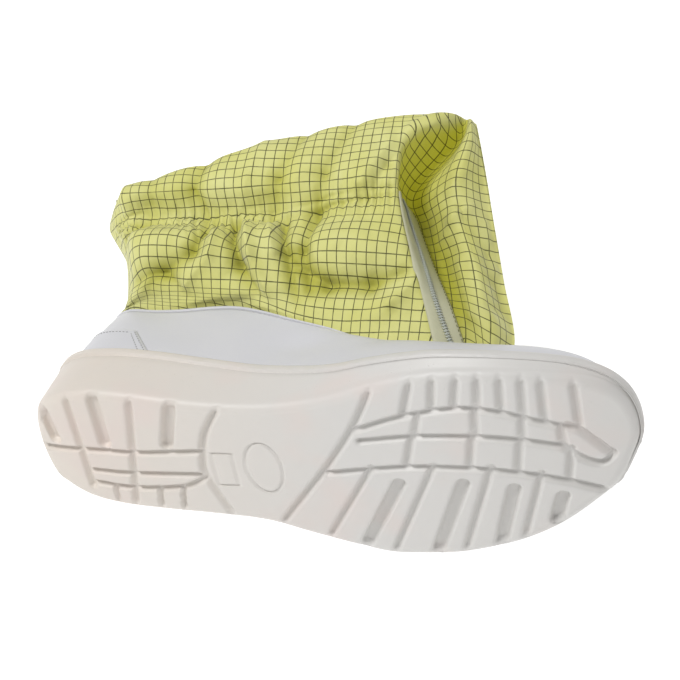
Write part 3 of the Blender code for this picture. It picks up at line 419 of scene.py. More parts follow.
@dataclass
class Piece:
    """A mesh under construction, in shoe coordinates."""

    name: str
    points: np.ndarray
    faces: list[tuple[int, ...]]
    attributes: dict[str, np.ndarray] = field(default_factory=dict)
    map_points: np.ndarray | None = None

    def make(self, finish: bpy.types.Material, slot: str) -> bpy.types.Object:
        """Make the object, lay it down and give it its finish.

        Args:
            finish: The material.
            slot: A material slot's name; not used.

        Returns:
            The object.
        """
        mesh = bpy.data.meshes.new(self.name)
        mesh.from_pydata(to_world(self.points).tolist(), [], self.faces)
        mesh.validate()
        outward = bmesh.new()
        outward.from_mesh(mesh)
        bmesh.ops.recalc_face_normals(outward, faces=outward.faces)
        outward.to_mesh(mesh)
        outward.free()
        for name, values in self.attributes.items():
            mesh.attributes.new(name, "FLOAT", "POINT").data.foreach_set("value", values.astype(np.float32))
        if self.map_points is not None:
            layer = mesh.uv_layers.new(name="cloth_map")
            corners = np.empty(len(mesh.loops), dtype=np.int32)
            mesh.loops.foreach_get("vertex_index", corners)
            layer.data.foreach_set("uv", self.map_points[corners].astype(np.float32).ravel())
        mesh.shade_smooth()
        mesh.materials.append(finish)
        obj = bpy.data.objects.new(self.name, mesh)
        bpy.context.scene.collection.objects.link(obj)
        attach(obj, "root")
        return obj


@dataclass
class Shape:
    """The last and the sole as functions, in millimetres."""

    sole_length: float = 287.0
    ball_width: float = 105.0
    toe_spring: float = 13.0
    spring_start: float = 190.0
    heel_roll: float = 4.5
    heel_roll_length: float = 28.0
    wall_height: float = 36.0
    bed_depth: float = 9.0
    medial_draft: float = 3.0
    lateral_draft: float = 0.6
    tip_blend: float = 0.12
    heel_flare: float = 3.0
    heel_flare_length: float = 45.0
    lip_width: float = 3.2
    clearance: float = 0.3
    collar_height: float = 90.0
    collar_length: float = 217.5
    collar_start: float = 4.5
    collar_width: float = 62.0
    stations: int = 150

    def __post_init__(self) -> None:
        """Work out the turned tables and the foot of the upper."""
        self.outline = by_turn(OUTLINE)
        self.collar = by_turn(COLLAR)
        turns = np.arange(2 * self.stations) / self.stations
        self.turns = np.where(turns <= 1.0, turns, 2.0 - turns)
        self.sides = np.where(turns <= 1.0, Side.MEDIAL.value, Side.LATERAL.value)
        foot = self.loop(self.turns, self.sides, self.lip_width + self.clearance, 0.0)
        height = self.bed_height(foot[:, 0]) + self.clearance
        self.foot = np.column_stack([foot[:, 0] - self.flare(foot[:, 0], height), foot[:, 1], height])

    def tread_height(self, x: np.ndarray) -> np.ndarray:
        """Height of the tread: the toe springs up and the heel is rolled."""
        spring = np.clip((x - self.spring_start) / (self.sole_length - self.spring_start), 0.0, None)
        roll = np.clip((self.heel_roll_length - x) / self.heel_roll_length, 0.0, None)
        return self.toe_spring * spring ** 2 + self.heel_roll * roll ** 2

    def wall_top(self, x: np.ndarray) -> np.ndarray:
        """Height of the top of the side wall."""
        return self.wall_height * read_table(WALL_TOP, np.clip(x / self.sole_length, 0.0, 1.0), 1)

    def bed_height(self, x: np.ndarray) -> np.ndarray:
        """Height of the bed that the insole lies on."""
        share = np.clip(x / self.sole_length, 0.0, 1.0)
        return self.wall_top(x) - self.bed_depth * read_table(BED, share, 1)

    def flare(self, x: np.ndarray, height: np.ndarray) -> np.ndarray:
        """How far the heel's back leans outwards."""
        share = np.clip(1.0 - x / self.heel_flare_length, 0.0, None)
        return self.heel_flare * share ** 2 * np.minimum(height / self.wall_height, 1.0)

    def loop(self, turns: np.ndarray, sides: np.ndarray, inset: float, draft: float) -> np.ndarray:
        """The sole's outline, moved inwards.

        Args:
            turns: The turn of each point from heel to toe.
            sides: Whether each point is medial or lateral.
            inset: How far it moves inwards.
            draft: The share of the wall's draft that it also moves.

        Returns:
            The points, one row each.
        """
        x = self.sole_length * (1.0 - np.cos(np.pi * turns)) / 2.0
        medial = sides == Side.MEDIAL.value
        width = np.where(medial, read_table(self.outline, turns, 1), read_table(self.outline, turns, 2))
        flat = np.column_stack([x, sides * width * self.ball_width])
        slant = read_table(DRAFT, x / self.sole_length, 1)
        blended = soft_step(0.0, self.tip_blend, 1.0 - turns) * (self.medial_draft - self.lateral_draft)
        side_draft = self.lateral_draft + np.where(medial, blended, 0.0)
        return flat + inward_directions(flat) * (inset + draft * slant * side_draft)[:, None]

    def upper_grid(self, rises: np.ndarray) -> np.ndarray:
        """Points of the upper's outer face.

        Args:
            rises: Shares of the way from the foot of the wall to the collar's edge.

        Returns:
            One closed loop for each rise.
        """
        along = read_table(self.collar, self.turns, 1)
        width = read_table(self.collar, self.turns, 2) * self.collar_width / 2.0
        height = read_table(self.collar, self.turns, 3) * self.collar_height
        edge = np.column_stack([self.collar_start + along * self.collar_length, self.sides * width, height])
        place = (1.0 - np.cos(np.pi * self.turns)) / 2.0
        end = np.radians(read_table(ARC, place, 1))
        square = 2.0 / read_table(ARC, place, 2)
        angle = rises[:, None] * end[None, :]
        inwards = (1.0 - np.cos(angle) ** square) / (1.0 - np.cos(end) ** square)
        upwards = np.sin(angle) ** square / np.sin(end) ** square
        grid = self.foot[None] + (edge - self.foot)[None] * inwards[..., None]
        grid[..., 2] = self.foot[None, :, 2] + (edge - self.foot)[None, :, 2] * upwards
        return grid


@dataclass(frozen=True)
class Value:
    """A shader socket that can be used in expressions."""

    tree: bpy.types.NodeTree
    socket: bpy.types.NodeSocket

    def _math(self, operation: Operation, first: Value | float, second: Value | float = 0.0) -> Value:
        """Add a Math node for an operation on two values."""
        node = self.tree.nodes.new("ShaderNodeMath")
        node.operation = operation.value
        for socket, item in zip(node.inputs, (first, second)):
            if isinstance(item, Value):
                self.tree.links.new(item.socket, socket)
            else:
                socket.default_value = item
        return Value(self.tree, node.outputs[0])

    def __add__(self, other: Value | float) -> Value:
        """Add."""
        return self._math(Operation.ADD, self, other)

    def __radd__(self, other: float) -> Value:
        """Add, reflected."""
        return self._math(Operation.ADD, other, self)

    def __sub__(self, other: Value | float) -> Value:
        """Subtract."""
        return self._math(Operation.SUBTRACT, self, other)

    def __rsub__(self, other: float) -> Value:
        """Subtract, reflected."""
        return self._math(Operation.SUBTRACT, other, self)

    def __mul__(self, other: Value | float) -> Value:
        """Multiply."""
        return self._math(Operation.MULTIPLY, self, other)

    def __truediv__(self, other: Value | float) -> Value:
        """Divide."""
        return self._math(Operation.DIVIDE, self, other)

    def least(self, other: Value | float) -> Value:
        """The smaller of two values."""
        return self._math(Operation.MINIMUM, self, other)

    def most(self, other: Value | float) -> Value:
        """The larger of two values."""
        return self._math(Operation.MAXIMUM, self, other)

    def size(self) -> Value:
        """The value without its sign."""
        return self._math(Operation.ABSOLUTE, self)

    def fraction(self) -> Value:
        """The part after the decimal point."""
        return self._math(Operation.FRACTION, self)

    def ramp(self, low: float, high: float) -> Value:
        """Rise from 0 at low to 1 at high, clamped."""
        return ((self - low) / (high - low)).most(0.0).least(1.0)


@dataclass
class Finish:
    """A material in the making, with one method for every node that isn't maths."""

    name: str
    colour: tuple[float, float, float]
    roughness: float
    constants: dict[str, float] = field(default_factory=dict)

    def __post_init__(self) -> None:
        """Make the material and its Principled shader."""
        self.material = bpy.data.materials.new(self.name)
        self.material.use_nodes = True
        self.tree = self.material.node_tree
        self.shader = self.tree.nodes["Principled BSDF"]
        self.shader.inputs["Base Color"].default_value = (*self.colour, 1.0)
        self.shader.inputs["Roughness"].default_value = self.roughness
        for socket, value in self.constants.items():
            self.shader.inputs[socket].default_value = value

    def node(self, kind: str, output: str | int, settings: dict[str, object] | None = None,
             **sockets: object) -> Value:
        """Add a node.

        Args:
            kind: The node's type, without its prefix.
            output: The output that is returned.
            settings: The node's own settings, set first.
            **sockets: Values or links for its inputs; an underscore stands for a space.

        Returns:
            The output as a value.
        """
        node = self.tree.nodes.new("ShaderNode" + kind)
        for setting, value in (settings or {}).items():
            setattr(node, setting, value)
        for name, value in sockets.items():
            options = [item for item in node.inputs if item.name == name.replace("_", " ") and item.enabled]
            socket = options[0]
            if isinstance(value, Value):
                self.tree.links.new(value.socket, socket)
            else:
                socket.default_value = value
        return Value(self.tree, node.outputs[output])

    def place(self) -> Value:
        """Coordinates in the row's frame, metres."""
        return self.node("TexCoord", "Object")

    def noise(self, size_mm: float, detail: float) -> Value:
        """Smooth noise whose blotches are about a size across."""
        return self.node("TexNoise", 0, Vector=self.place(), Scale=1.0 / (size_mm * MM), Detail=detail)

    def blotches(self, *, size_mm: float, detail: float, low: float, high: float, most: float) -> Value:
        """Soft blotches: noise that rises from nothing at low to its most at high."""
        return self.noise(size_mm, detail).ramp(low, high) * most

    def vary_roughness(self, *, least: float, gain: float, size_mm: float, detail: float) -> None:
        """Let the roughness wander upwards from its least."""
        self.feed("Roughness", least + self.noise(size_mm, detail) * gain)

    def cells(self, size_mm: float) -> Value:
        """Distance to the nearest of points that lie about a size apart."""
        scale = 1.0 / (size_mm * MM)
        return self.node("TexVoronoi", "Distance", {"feature": "F1"}, Vector=self.place(), Scale=scale)

    def mix(self, factor: Value, first: Value | tuple, second: Value | tuple) -> Value:
        """Mix two colours."""
        def colour(item: Value | tuple) -> Value | tuple:
            """Give a plain colour its alpha."""
            return item if isinstance(item, Value) else (*item, 1.0)
        return self.node("Mix", 2, {"data_type": "RGBA"}, Factor=factor, A=colour(first), B=colour(second))

    def attribute(self, name: str) -> Value:
        """A value stored on the mesh."""
        return self.node("Attribute", "Fac", {"attribute_name": name})

    def feed(self, socket: str, value: Value) -> None:
        """Link a varying value to the shader."""
        self.tree.links.new(value.socket, self.shader.inputs[socket])

    def bump(self, height: Value, *, distance_mm: float, strength: float) -> None:
        """Feed a height, in shares of a distance, to the shader's normal."""
        made = self.node("Bump", 0, Strength=strength, Distance=distance_mm * MM, Height=height)
        self.feed("Normal", made)


@dataclass(frozen=True)
class MouldedSoleFinish:
    """Foamed polyurethane: off-white, satin, warm at the heel and greyer at the toe, with fine pits."""

    warm: tuple[float, float, float] = (0.735, 0.672, 0.602)
    cool: tuple[float, float, float] = (0.680, 0.665, 0.640)
    blush: tuple[float, float, float] = (0.745, 0.635, 0.590)
    blotch: tuple[float, float, float] = (0.62, 0.60, 0.58)
    warm_until: float = -0.11
    cool_from: float = 0.02
    pit_mm: float = 2.1
    pit_edge: tuple[float, float] = (0.05, 0.22)
    pit_share: float = 0.34
    skin_mm: float = 1.3
    skin_share: float = 0.10
    wave_mm: float = 14.0
    wave_share: float = 0.8

    def make(self) -> bpy.types.Material:
        """Make the material."""
        finish = Finish("moulded_sole", self.warm, 0.42, {"Specular IOR Level": 0.45})
        along = finish.node("SeparateXYZ", 0, Vector=finish.place())
        colour = finish.mix(along.ramp(self.warm_until, self.cool_from), self.warm, self.cool)
        blush = finish.blotches(size_mm=34.0, detail=2.0, low=0.52, high=0.74, most=0.55)
        colour = finish.mix(blush, colour, self.blush)
        blotch = finish.blotches(size_mm=9.0, detail=3.0, low=0.35, high=0.75, most=0.10)
        finish.feed("Base Color", finish.mix(blotch, colour, self.blotch))
        finish.vary_roughness(least=0.36, gain=0.18, size_mm=5.0, detail=3.0)
        sparse = finish.blotches(size_mm=6.0, detail=1.0, low=0.50, high=0.62, most=1.0)
        pit = (1.0 - finish.cells(self.pit_mm).ramp(*self.pit_edge)) * sparse
        skin = finish.noise(self.skin_mm, 3.0) * self.skin_share
        wave = finish.noise(self.wave_mm, 1.0) * self.wave_share
        finish.bump(skin + wave - pit * self.pit_share, distance_mm=0.30, strength=0.9)
        return finish.material


@dataclass(frozen=True)
class UpperFinish:
    """Smooth white coated microfibre with a fine grain."""

    colour: tuple[float, float, float] = (0.665, 0.665, 0.695)
    shade: tuple[float, float, float] = (0.62, 0.625, 0.665)
    grain_mm: float = 0.9
    grain_share: float = 0.25
    dent_mm: float = 7.0
    dent_share: float = 0.9

    def make(self) -> bpy.types.Material:
        """Make the material."""
        finish = Finish("white_microfibre", self.colour, 0.38, {"Specular IOR Level": 0.45})
        shade = finish.blotches(size_mm=30.0, detail=2.0, low=0.35, high=0.75, most=0.35)
        finish.feed("Base Color", finish.mix(shade, self.colour, self.shade))
        finish.vary_roughness(least=0.34, gain=0.14, size_mm=4.0, detail=3.0)
        grain = finish.cells(self.grain_mm) * self.grain_share
        dents = finish.noise(self.dent_mm, 2.0) * self.dent_share
        finish.bump(grain + dents, distance_mm=0.12, strength=0.8)
        return finish.material


@dataclass(frozen=True)
class GriddedClothFinish:
    """Thin yellow-green woven cloth with a dark conductive grid, painted shade in its folds and a painted
    glow where light comes through it.
    """

    light: tuple[float, float, float] = (0.665, 0.655, 0.205)
    pale: tuple[float, float, float] = (0.740, 0.735, 0.330)
    # Colour of the painted shade that darkens the cloth in its folds, hollows and open gusset
    painted_shade_colour: tuple[float, float, float] = (0.400, 0.390, 0.012)
    line: tuple[float, float, float] = (0.040, 0.043, 0.010)
    # Colour of the painted glow: emission that stands in for light coming through the thin cloth
    through: tuple[float, float, float] = (0.125, 0.120, 0.002)
    pitch_mm: float = 4.9
    line_mm: float = 0.28
    line_edge: tuple[float, float] = (0.45, 1.15)
    line_least: float = 0.72
    line_share: float = 0.05
    # How much the grid's lines dim the painted glow
    line_dimming: float = 0.9
    # Most share of the painted shade colour
    deepest: float = 0.92
    weave_mm: float = 0.55
    weave_share: float = 0.06
    crumple_mm: float = 7.0
    slack_mm: float = 15.0
    slack_share: float = 6.5

    def make(self) -> bpy.types.Material:
        """Make the material."""
        finish = Finish("gridded_cloth_look", self.light, 0.62, {
            "Sheen Weight": 0.25, "Sheen Roughness": 0.4, "Specular IOR Level": 0.35,
            "Emission Strength": 1.0,
        })
        where = finish.node("UVMap", 0, {"uv_map": "cloth_map"})
        across = finish.node("SeparateXYZ", 0, Vector=where)
        upwards = finish.node("SeparateXYZ", 1, Vector=where)
        lines = self.thread(across).most(self.thread(upwards))
        shade = finish.blotches(size_mm=26.0, detail=2.0, low=0.35, high=0.70, most=0.6)
        cloth = finish.mix(shade, self.light, self.pale)
        # Painted shade: the cloth is darkened towards the shade colour where it folds inwards and in the open
        # gusset
        cloth = finish.mix(finish.attribute("painted_shade_share").least(1.0) * self.deepest, cloth, self.painted_shade_colour)
        worn = finish.blotches(size_mm=3.0, detail=2.0, low=0.2, high=0.6, most=0.25) + self.line_least
        finish.feed("Base Color", finish.mix(lines * worn, cloth, self.line))
        # Painted glow: emission in the gusset's pocket, dimmer under the grid's lines, stands in for light
        # through the thin cloth
        glow = finish.attribute("glow") * (1.0 - lines * self.line_dimming)
        finish.feed("Emission Color", finish.mix(glow, (0.0, 0.0, 0.0), self.through))
        finish.vary_roughness(least=0.52, gain=0.2, size_mm=8.0, detail=2.0)
        weft, warp = ((way / self.weave_mm).fraction() - 0.5 for way in (across, upwards))
        weave = (weft.size() + warp.size()) * self.weave_share
        crumple = finish.noise(self.crumple_mm, 3.0)
        slack = finish.noise(self.slack_mm, 1.0) * self.slack_share
        finish.bump(weave + crumple + slack + lines * self.line_share, distance_mm=0.7, strength=0.75)
        return finish.material

    def thread(self, coordinate: Value) -> Value:
        """Dark threads that cross a coordinate at every pitch."""
        off_line = (coordinate / self.pitch_mm).fraction() - 0.5
        distance = (0.5 - off_line.size()) * self.pitch_mm
        low, high = self.line_edge
        return 1.0 - distance.ramp(self.line_mm * low, self.line_mm * high)


@dataclass(frozen=True)
class FibreFinish:
    """Nylon, thread or felt: plain, with fine ribs."""

    name: str
    colour: tuple[float, float, float]
    roughness: float
    rib_mm: float
    rib_gain: float = 0.12
    rib_share: float = 0.5
    dimming: float = 0.86

    def make(self) -> bpy.types.Material:
        """Make the material."""
        finish = Finish(self.name, self.colour, self.roughness, {"Specular IOR Level": 0.5})
        dim = tuple(self.dimming * part for part in self.colour)
        blotch = finish.blotches(size_mm=6.0, detail=2.0, low=0.3, high=0.7, most=0.5)
        finish.feed("Base Color", finish.mix(blotch, self.colour, dim))
        rib = finish.noise(self.rib_mm, 2.0)
        finish.feed("Roughness", self.roughness + rib * self.rib_gain)
        finish.bump(rib * self.rib_share, distance_mm=0.25, strength=0.7)
        return finish.material


@dataclass
class MouldedSole:
    """The sole with its tread as a fine height field, its side wall and its lip band."""

    shape: Shape
    groove_width: float = 4.4
    groove_floor: float = 0.6
    groove_depth: float = 2.6
    slot_width: float = 6.6
    slot_floor: float = 4.0
    slot_depth: float = 3.6
    sipe_width: float = 2.2
    mark_width: float = 1.3
    mark_floor: float = 0.39
    mark_depth: float = 0.9
    softness: float = 0.4
    softness_share: float = 0.2
    path_steps: int = 6
    rounding: float = 4.6
    rounding_height: float = 4.2
    lip_band: float = 5.0
    lip_step: float = 0.8
    lip_groove: float = 0.5
    lip_edge: float = 0.3
    flash_seed: int = 7
    flash_wave: float = 0.12
    flash_most: float = 0.35
    edge_notch: float = 0.6
    columns: int = 400
    end_crowding: float = 0.35
    rows: int = 176

    def paths(self) -> Iterable[tuple[np.ndarray, float, float, float]]:
        """Each groove's path, mouth, floor and depth."""
        scale = np.array([self.shape.sole_length, -self.shape.ball_width])
        groove = (self.groove_width, self.groove_floor, self.groove_depth)
        for rows in LONG_GROOVES + (TOE_DROP,):
            yield self.smooth_path(rows) * scale, *groove
        for row in CROSS_GROOVES:
            yield np.array([row[:2], row[2:]]) * scale, *groove
        for row in HEEL_SIPES:
            yield np.array([row[:2], row[2:]]) * scale, self.sipe_width, self.sipe_width, self.groove_depth
        for row in WIDE_SLOTS:
            yield np.array([row[:2], row[2:]]) * scale, self.slot_width, self.slot_floor, self.slot_depth
        turn = np.linspace(0.0, 2.0 * np.pi, OVAL_STEPS)
        along, across, half_along, half_across = OVAL_PLACE
        oval = np.column_stack([along + half_along * np.cos(turn), across + half_across * np.sin(turn)])
        mark = (self.mark_width, self.mark_floor, self.mark_depth)
        yield oval * scale, *mark
        along, across, half_along, half_across = FRAME_PLACE
        corners = np.array([(-1, -1), (1, -1), (1, 1), (-1, 1), (-1, -1)])
        yield (np.array([along, across]) + corners * np.array([half_along, half_across])) * scale, *mark

    def smooth_path(self, rows: Sequence[Sequence[float]]) -> np.ndarray:
        """A smooth path through a groove's points."""
        table = [(float(index), *row) for index, row in enumerate(rows)]
        places = np.linspace(0.0, len(rows) - 1.0, self.path_steps * (len(rows) - 1) + 1)
        return np.column_stack([read_table(table, places, 1), read_table(table, places, 2)])

    def depth(self, x: np.ndarray, y: np.ndarray) -> np.ndarray:
        """Depth of the tread's grooves below its face, at points over it."""
        deepest = np.zeros(x.shape)
        for path, mouth, floor, depth in self.paths():
            softness = min(self.softness, self.softness_share * mouth)
            near = ((x > path[:, 0].min() - mouth) & (x < path[:, 0].max() + mouth)
                    & (y > path[:, 1].min() - mouth) & (y < path[:, 1].max() + mouth))
            if near.any():
                distance = path_distance(x[near], y[near], path)
                wall = soft_step(floor / 2.0 - softness / 2.0, mouth / 2.0 + softness, distance)
                deepest[near] = np.maximum(deepest[near], depth * (1.0 - wall))
        return deepest

    def turns(self) -> np.ndarray:
        """Turns of the columns from heel to toe, closer together at both ends."""
        share = np.linspace(0.0, 1.0, self.columns + 1)
        return share + self.end_crowding * np.sin(2.0 * np.pi * share) / (2.0 * np.pi)

    def build(self, finish: bpy.types.Material) -> bpy.types.Object:
        """Build the sole."""
        shape, count = self.shape, self.columns
        half = self.turns()
        turns = np.concatenate([half, half[-2:0:-1]])
        sides = np.where(np.arange(2 * count) <= count, Side.MEDIAL.value, Side.LATERAL.value)
        border = shape.loop(turns, sides, self.rounding, 1.0)
        medial = border[1:count]
        lateral = border[:count:-1]
        share = np.linspace(0.0, 1.0, self.rows + 1)[None, :, None]
        inner = medial[:, None, :] + (lateral - medial)[:, None, :] * share
        flat = np.concatenate([border[:1], inner.reshape(-1, 2), border[count:count + 1]])
        tread = shape.tread_height(flat[:, 0]) + self.depth(flat[:, 0], flat[:, 1])
        layer = np.column_stack([flat[:, 0] - shape.flare(flat[:, 0], tread), flat[:, 1], tread])
        loops = self.wall_loops(turns, sides)
        starts = len(flat) + np.arange(len(loops)) * 2 * count
        rings = [self.rim()] + [start + np.arange(2 * count) for start in starts]
        faces = self.tread_faces()
        for below, above in zip(rings[:-1], rings[1:]):
            faces += np.stack([below, np.roll(below, -1), np.roll(above, -1), above], axis=-1).tolist()
        faces += self.bed_faces(rings[-1].tolist())
        points = np.concatenate([layer] + loops)
        return Piece("sole_moulded", points, faces).make(finish, "moulded_polyurethane")

    def rim(self) -> np.ndarray:
        """The tread's outer vertices, around the sole from the heel along the medial side."""
        width = self.rows + 1
        starts = 1 + np.arange(self.columns - 1) * width
        return np.concatenate([[0], starts, [1 + (self.columns - 1) * width], (starts + self.rows)[::-1]])

    def tread_faces(self) -> list[Sequence[int]]:
        """Faces of the tread: quads across it, and a fan at either tip."""
        width = self.rows + 1
        last = 1 + (self.columns - 1) * width
        top = last - width
        faces = grid_faces(self.columns - 1, width, False, 1)[:, ::-1].tolist()
        faces += [(0, 1 + step, 2 + step) for step in range(self.rows)]
        return faces + [(last, top + step + 1, top + step) for step in range(self.rows)]

    def bed_faces(self, bed: list[int]) -> list[Sequence[int]]:
        """Faces that join the bed's medial side to its lateral side."""
        count = self.columns
        faces = [(bed[i], bed[i + 1], bed[-1 - i], bed[-i]) for i in range(1, count - 1)]
        return faces + [(bed[0], bed[1], bed[-1]), (bed[count - 1], bed[count], bed[count + 1])]

    def wall_loops(self, turns: np.ndarray, sides: np.ndarray) -> list[np.ndarray]:
        """Loops of the rounded tread edge, side wall, lip band and bed, from the tread up."""
        shape = self.shape
        flash = self.flash_line(len(turns))
        rows: list[tuple[float | np.ndarray, float, Callable[[np.ndarray], np.ndarray]]] = []
        for angle in np.radians(EDGE_ANGLES):
            rise = self.rounding_height * (1.0 - math.cos(angle))
            rows.append((self.rounding * (1.0 - math.sin(angle)), 1.0,
                         lambda x, r=rise: shape.tread_height(x) + r))
        for share in WALL_SHARES:
            rows.append((0.0, 1.0 - share, lambda x, s=share: (1.0 - s) * (
                shape.tread_height(x) + self.rounding_height) + s * (shape.wall_top(x) - self.lip_band)))
        # Profile of the lip band: how far inwards, and how far above the wall's top
        band = (
            (self.lip_groove, -self.lip_band - 0.5), (self.lip_groove - 0.1, -self.lip_band),
            (-0.75 * self.lip_step - flash, -self.lip_band + 0.25), (-self.lip_step, -self.lip_band + 0.9),
            (-self.lip_step, -1.5), (-0.6 * self.lip_step, -0.5),
            (self.lip_edge, 0.0), (shape.lip_width, 0.0),
        )
        for inset, rise in band:
            rows.append((inset, 0.0, lambda x, r=rise: shape.wall_top(x) + r))
        rows.append((shape.lip_width, 0.0, shape.bed_height))
        loops = []
        for inset, draft, height in rows:
            flat = shape.loop(turns, sides, 0.0, draft)
            flat = flat + inward_directions(flat) * np.reshape(inset, (-1, 1))
            z = height(flat[:, 0])
            notch = shape.tread_height(flat[:, 0]) + self.depth(flat[:, 0], flat[:, 1]) * self.edge_notch
            z = np.maximum(z, notch)
            loops.append(np.column_stack([flat[:, 0] - shape.flare(flat[:, 0], z), flat[:, 1], z]))
        return loops

    def flash_line(self, count: int) -> np.ndarray:
        """The uneven thickness of the mould's parting line along the lip, millimetres."""
        draw = np.random.default_rng(self.flash_seed)
        place = np.linspace(0.0, 2.0 * np.pi, count, endpoint=False)
        height = np.zeros(count)
        for waves in FLASH_WAVES:
            height += np.sin(waves * place + draw.uniform(0.0, 6.28)) * self.flash_wave
        return np.clip(height, 0.0, self.flash_most)


@dataclass
class WhiteUpper:
    """The upper, its counter and its collar binding."""

    shape: Shape
    wall: float = 2.0
    rows: int = 30
    counter_thickness: float = 1.0
    counter_gap: float = 0.12
    counter_head_length: float = 39.0
    counter_foot_length: float = 55.0
    counter_drop: float = 20.5
    counter_columns: int = 161
    counter_rows: int = 25
    counter_edge: float = 0.2
    counter_side_steps: float = 2.0
    counter_head_steps: float = 1.5
    stitch_rows: tuple[int, ...] = (2, 5)
    stitch_end: int = 3
    stitch_head: int = 5
    binding_height: float = 2.4
    binding_gap: float = 0.3
    binding_overhang: float = 0.6
    binding_sides: int = 12
    binding_roundness: tuple[float, float] = (0.7, 0.8)
    dent_fade: float = 0.12
    halvings: int = 18

    def __post_init__(self) -> None:
        """Work out the outer face once."""
        self.rises = np.linspace(0.0, 1.0, self.rows + 1)
        self.outer = self.shape.upper_grid(self.rises)
        self.normals = grid_normals(self.outer)

    def dents(self, grid: np.ndarray) -> np.ndarray:
        """Soft dents that wear leaves in the quarters, as depths."""
        along, up = grid[..., 0], grid[..., 2]
        depth = round_bumps(along, up, MEDIAL_DENTS) * (grid[..., 1] < 0.0)
        depth += round_bumps(along, up, BOTH_SIDES_DENTS)
        fade = np.clip(np.minimum(self.rises, 1.0 - self.rises) / self.dent_fade, 0.0, 1.0)
        return depth * fade[:, None]

    def build_upper(self, finish: bpy.types.Material) -> bpy.types.Object:
        """Build the hollow upper."""
        dents = self.dents(self.outer)[..., None]
        outer = self.outer - self.normals * dents
        inner = (self.outer - self.normals * (self.wall + dents))[::-2]
        loops = np.concatenate([outer, inner])
        faces = tube_faces(*loops.shape[:2])
        return Piece("upper_moulded", loops.reshape(-1, 3), faces).make(finish, "white_upper")

    def face_at(self, column: np.ndarray, rise: np.ndarray, distance: np.ndarray | float) -> np.ndarray:
        """Points beside the outer face.

        Args:
            column: Real columns; negative ones are lateral.
            rise: Shares of the way up.
            distance: How far outside the face.

        Returns:
            The points.
        """
        count = self.outer.shape[1]
        row = np.clip(rise * self.rows, 0.0, self.rows - 1e-6)
        low, share = np.floor(row).astype(int), (row % 1.0)[..., None]
        left, part = np.floor(column).astype(int), (column % 1.0)[..., None]
        result = 0.0
        for grid, scale in ((self.outer, 1.0), (self.normals, np.asarray(distance)[..., None])):
            def pick(down: np.ndarray, over: np.ndarray) -> np.ndarray:
                """Read the grid at whole rows and columns."""
                return grid[down, over % count]
            below = pick(low, left) * (1.0 - part) + pick(low, left + 1) * part
            above = pick(low + 1, left) * (1.0 - part) + pick(low + 1, left + 1) * part
            result = result + (below * (1.0 - share) + above * share) * scale
        return result

    def rise_at(self, column: np.ndarray, height: np.ndarray) -> np.ndarray:
        """The rise at which each column's outer face reaches a height."""
        low, high = np.zeros(column.shape), np.ones(column.shape)
        for _ in range(self.halvings):
            middle = (low + high) / 2.0
            under = self.face_at(column, middle, np.zeros(column.shape))[..., 2] < height
            low, high = np.where(under, middle, low), np.where(under, high, middle)
        return low

    def counter_grid(self) -> tuple[np.ndarray, np.ndarray]:
        """Columns and rises of the counter's grid."""
        shape = self.shape
        share = np.linspace(0.0, 1.0, self.counter_rows)[:, None]
        length = self.counter_foot_length + (self.counter_head_length - self.counter_foot_length) * share
        reach = np.interp(length, shape.foot[:shape.stations + 1, 0], np.arange(shape.stations + 1.0))
        column = reach * np.linspace(-1.0, 1.0, self.counter_columns)[None, :]
        foot_x = self.face_at(column, np.zeros(column.shape), np.zeros(column.shape))[..., 0]
        foot = self.rise_at(column, shape.wall_top(foot_x) + 2.0 * shape.clearance)
        collar = self.face_at(column, np.ones(column.shape), np.zeros(column.shape))[..., 2]
        head = self.rise_at(column, collar - self.counter_drop)
        return column, foot + (head - foot) * share

    def build_counter(self, finish: bpy.types.Material) -> bpy.types.Object:
        """Build the heel counter with rounded edges."""
        across, upwards = self.counter_columns, self.counter_rows
        column, rise = self.counter_grid()
        sides = np.minimum(np.arange(across), np.arange(across)[::-1])[None, :]
        ends = (upwards - 1 - np.arange(upwards))[:, None]
        edge = np.clip(np.minimum(sides / self.counter_side_steps, ends / self.counter_head_steps), 0.0, 1.0)
        rounding = self.counter_edge + (1.0 - self.counter_edge) * np.sin(edge * np.pi / 2.0)
        thickness = self.counter_thickness * rounding
        inner = self.face_at(column, rise, np.full(column.shape, self.counter_gap))
        outer = self.face_at(column, rise, self.counter_gap + thickness)
        size = across * upwards
        faces = grid_faces(upwards, across, False, size).tolist()
        faces += grid_faces(upwards, across, False)[:, ::-1].tolist()
        rim = list(range(across)) + [row * across + across - 1 for row in range(1, upwards)]
        rim += [(upwards - 1) * across + step for step in range(across - 2, -1, -1)]
        rim += [row * across for row in range(upwards - 2, 0, -1)]
        for here, following in zip(rim, rim[1:] + rim[:1]):
            faces.append((here, following, size + following, size + here))
        points = np.concatenate([inner.reshape(-1, 3), outer.reshape(-1, 3)])
        return Piece("heel_counter_skin", points, faces).make(finish, "white_upper")

    def stitch_lines(self) -> list[tuple[np.ndarray, np.ndarray]]:
        """Lines of stitching around the counter, with their outward directions."""
        column, rise = self.counter_grid()
        height = self.counter_gap + self.counter_thickness
        end, head = self.stitch_end, self.stitch_head
        lines = [(column[:-end, index], rise[:-end, index])
                 for step in self.stitch_rows for index in (step, -1 - step)]
        lines.append((column[-head, head:-head], rise[-head, head:-head]))
        made = []
        for place, up in lines:
            points = self.face_at(place, up, np.full(place.shape, height))
            lifted = self.face_at(place, up, np.full(place.shape, height + 1.0))
            made.append((points, unit(lifted - points)))
        return made

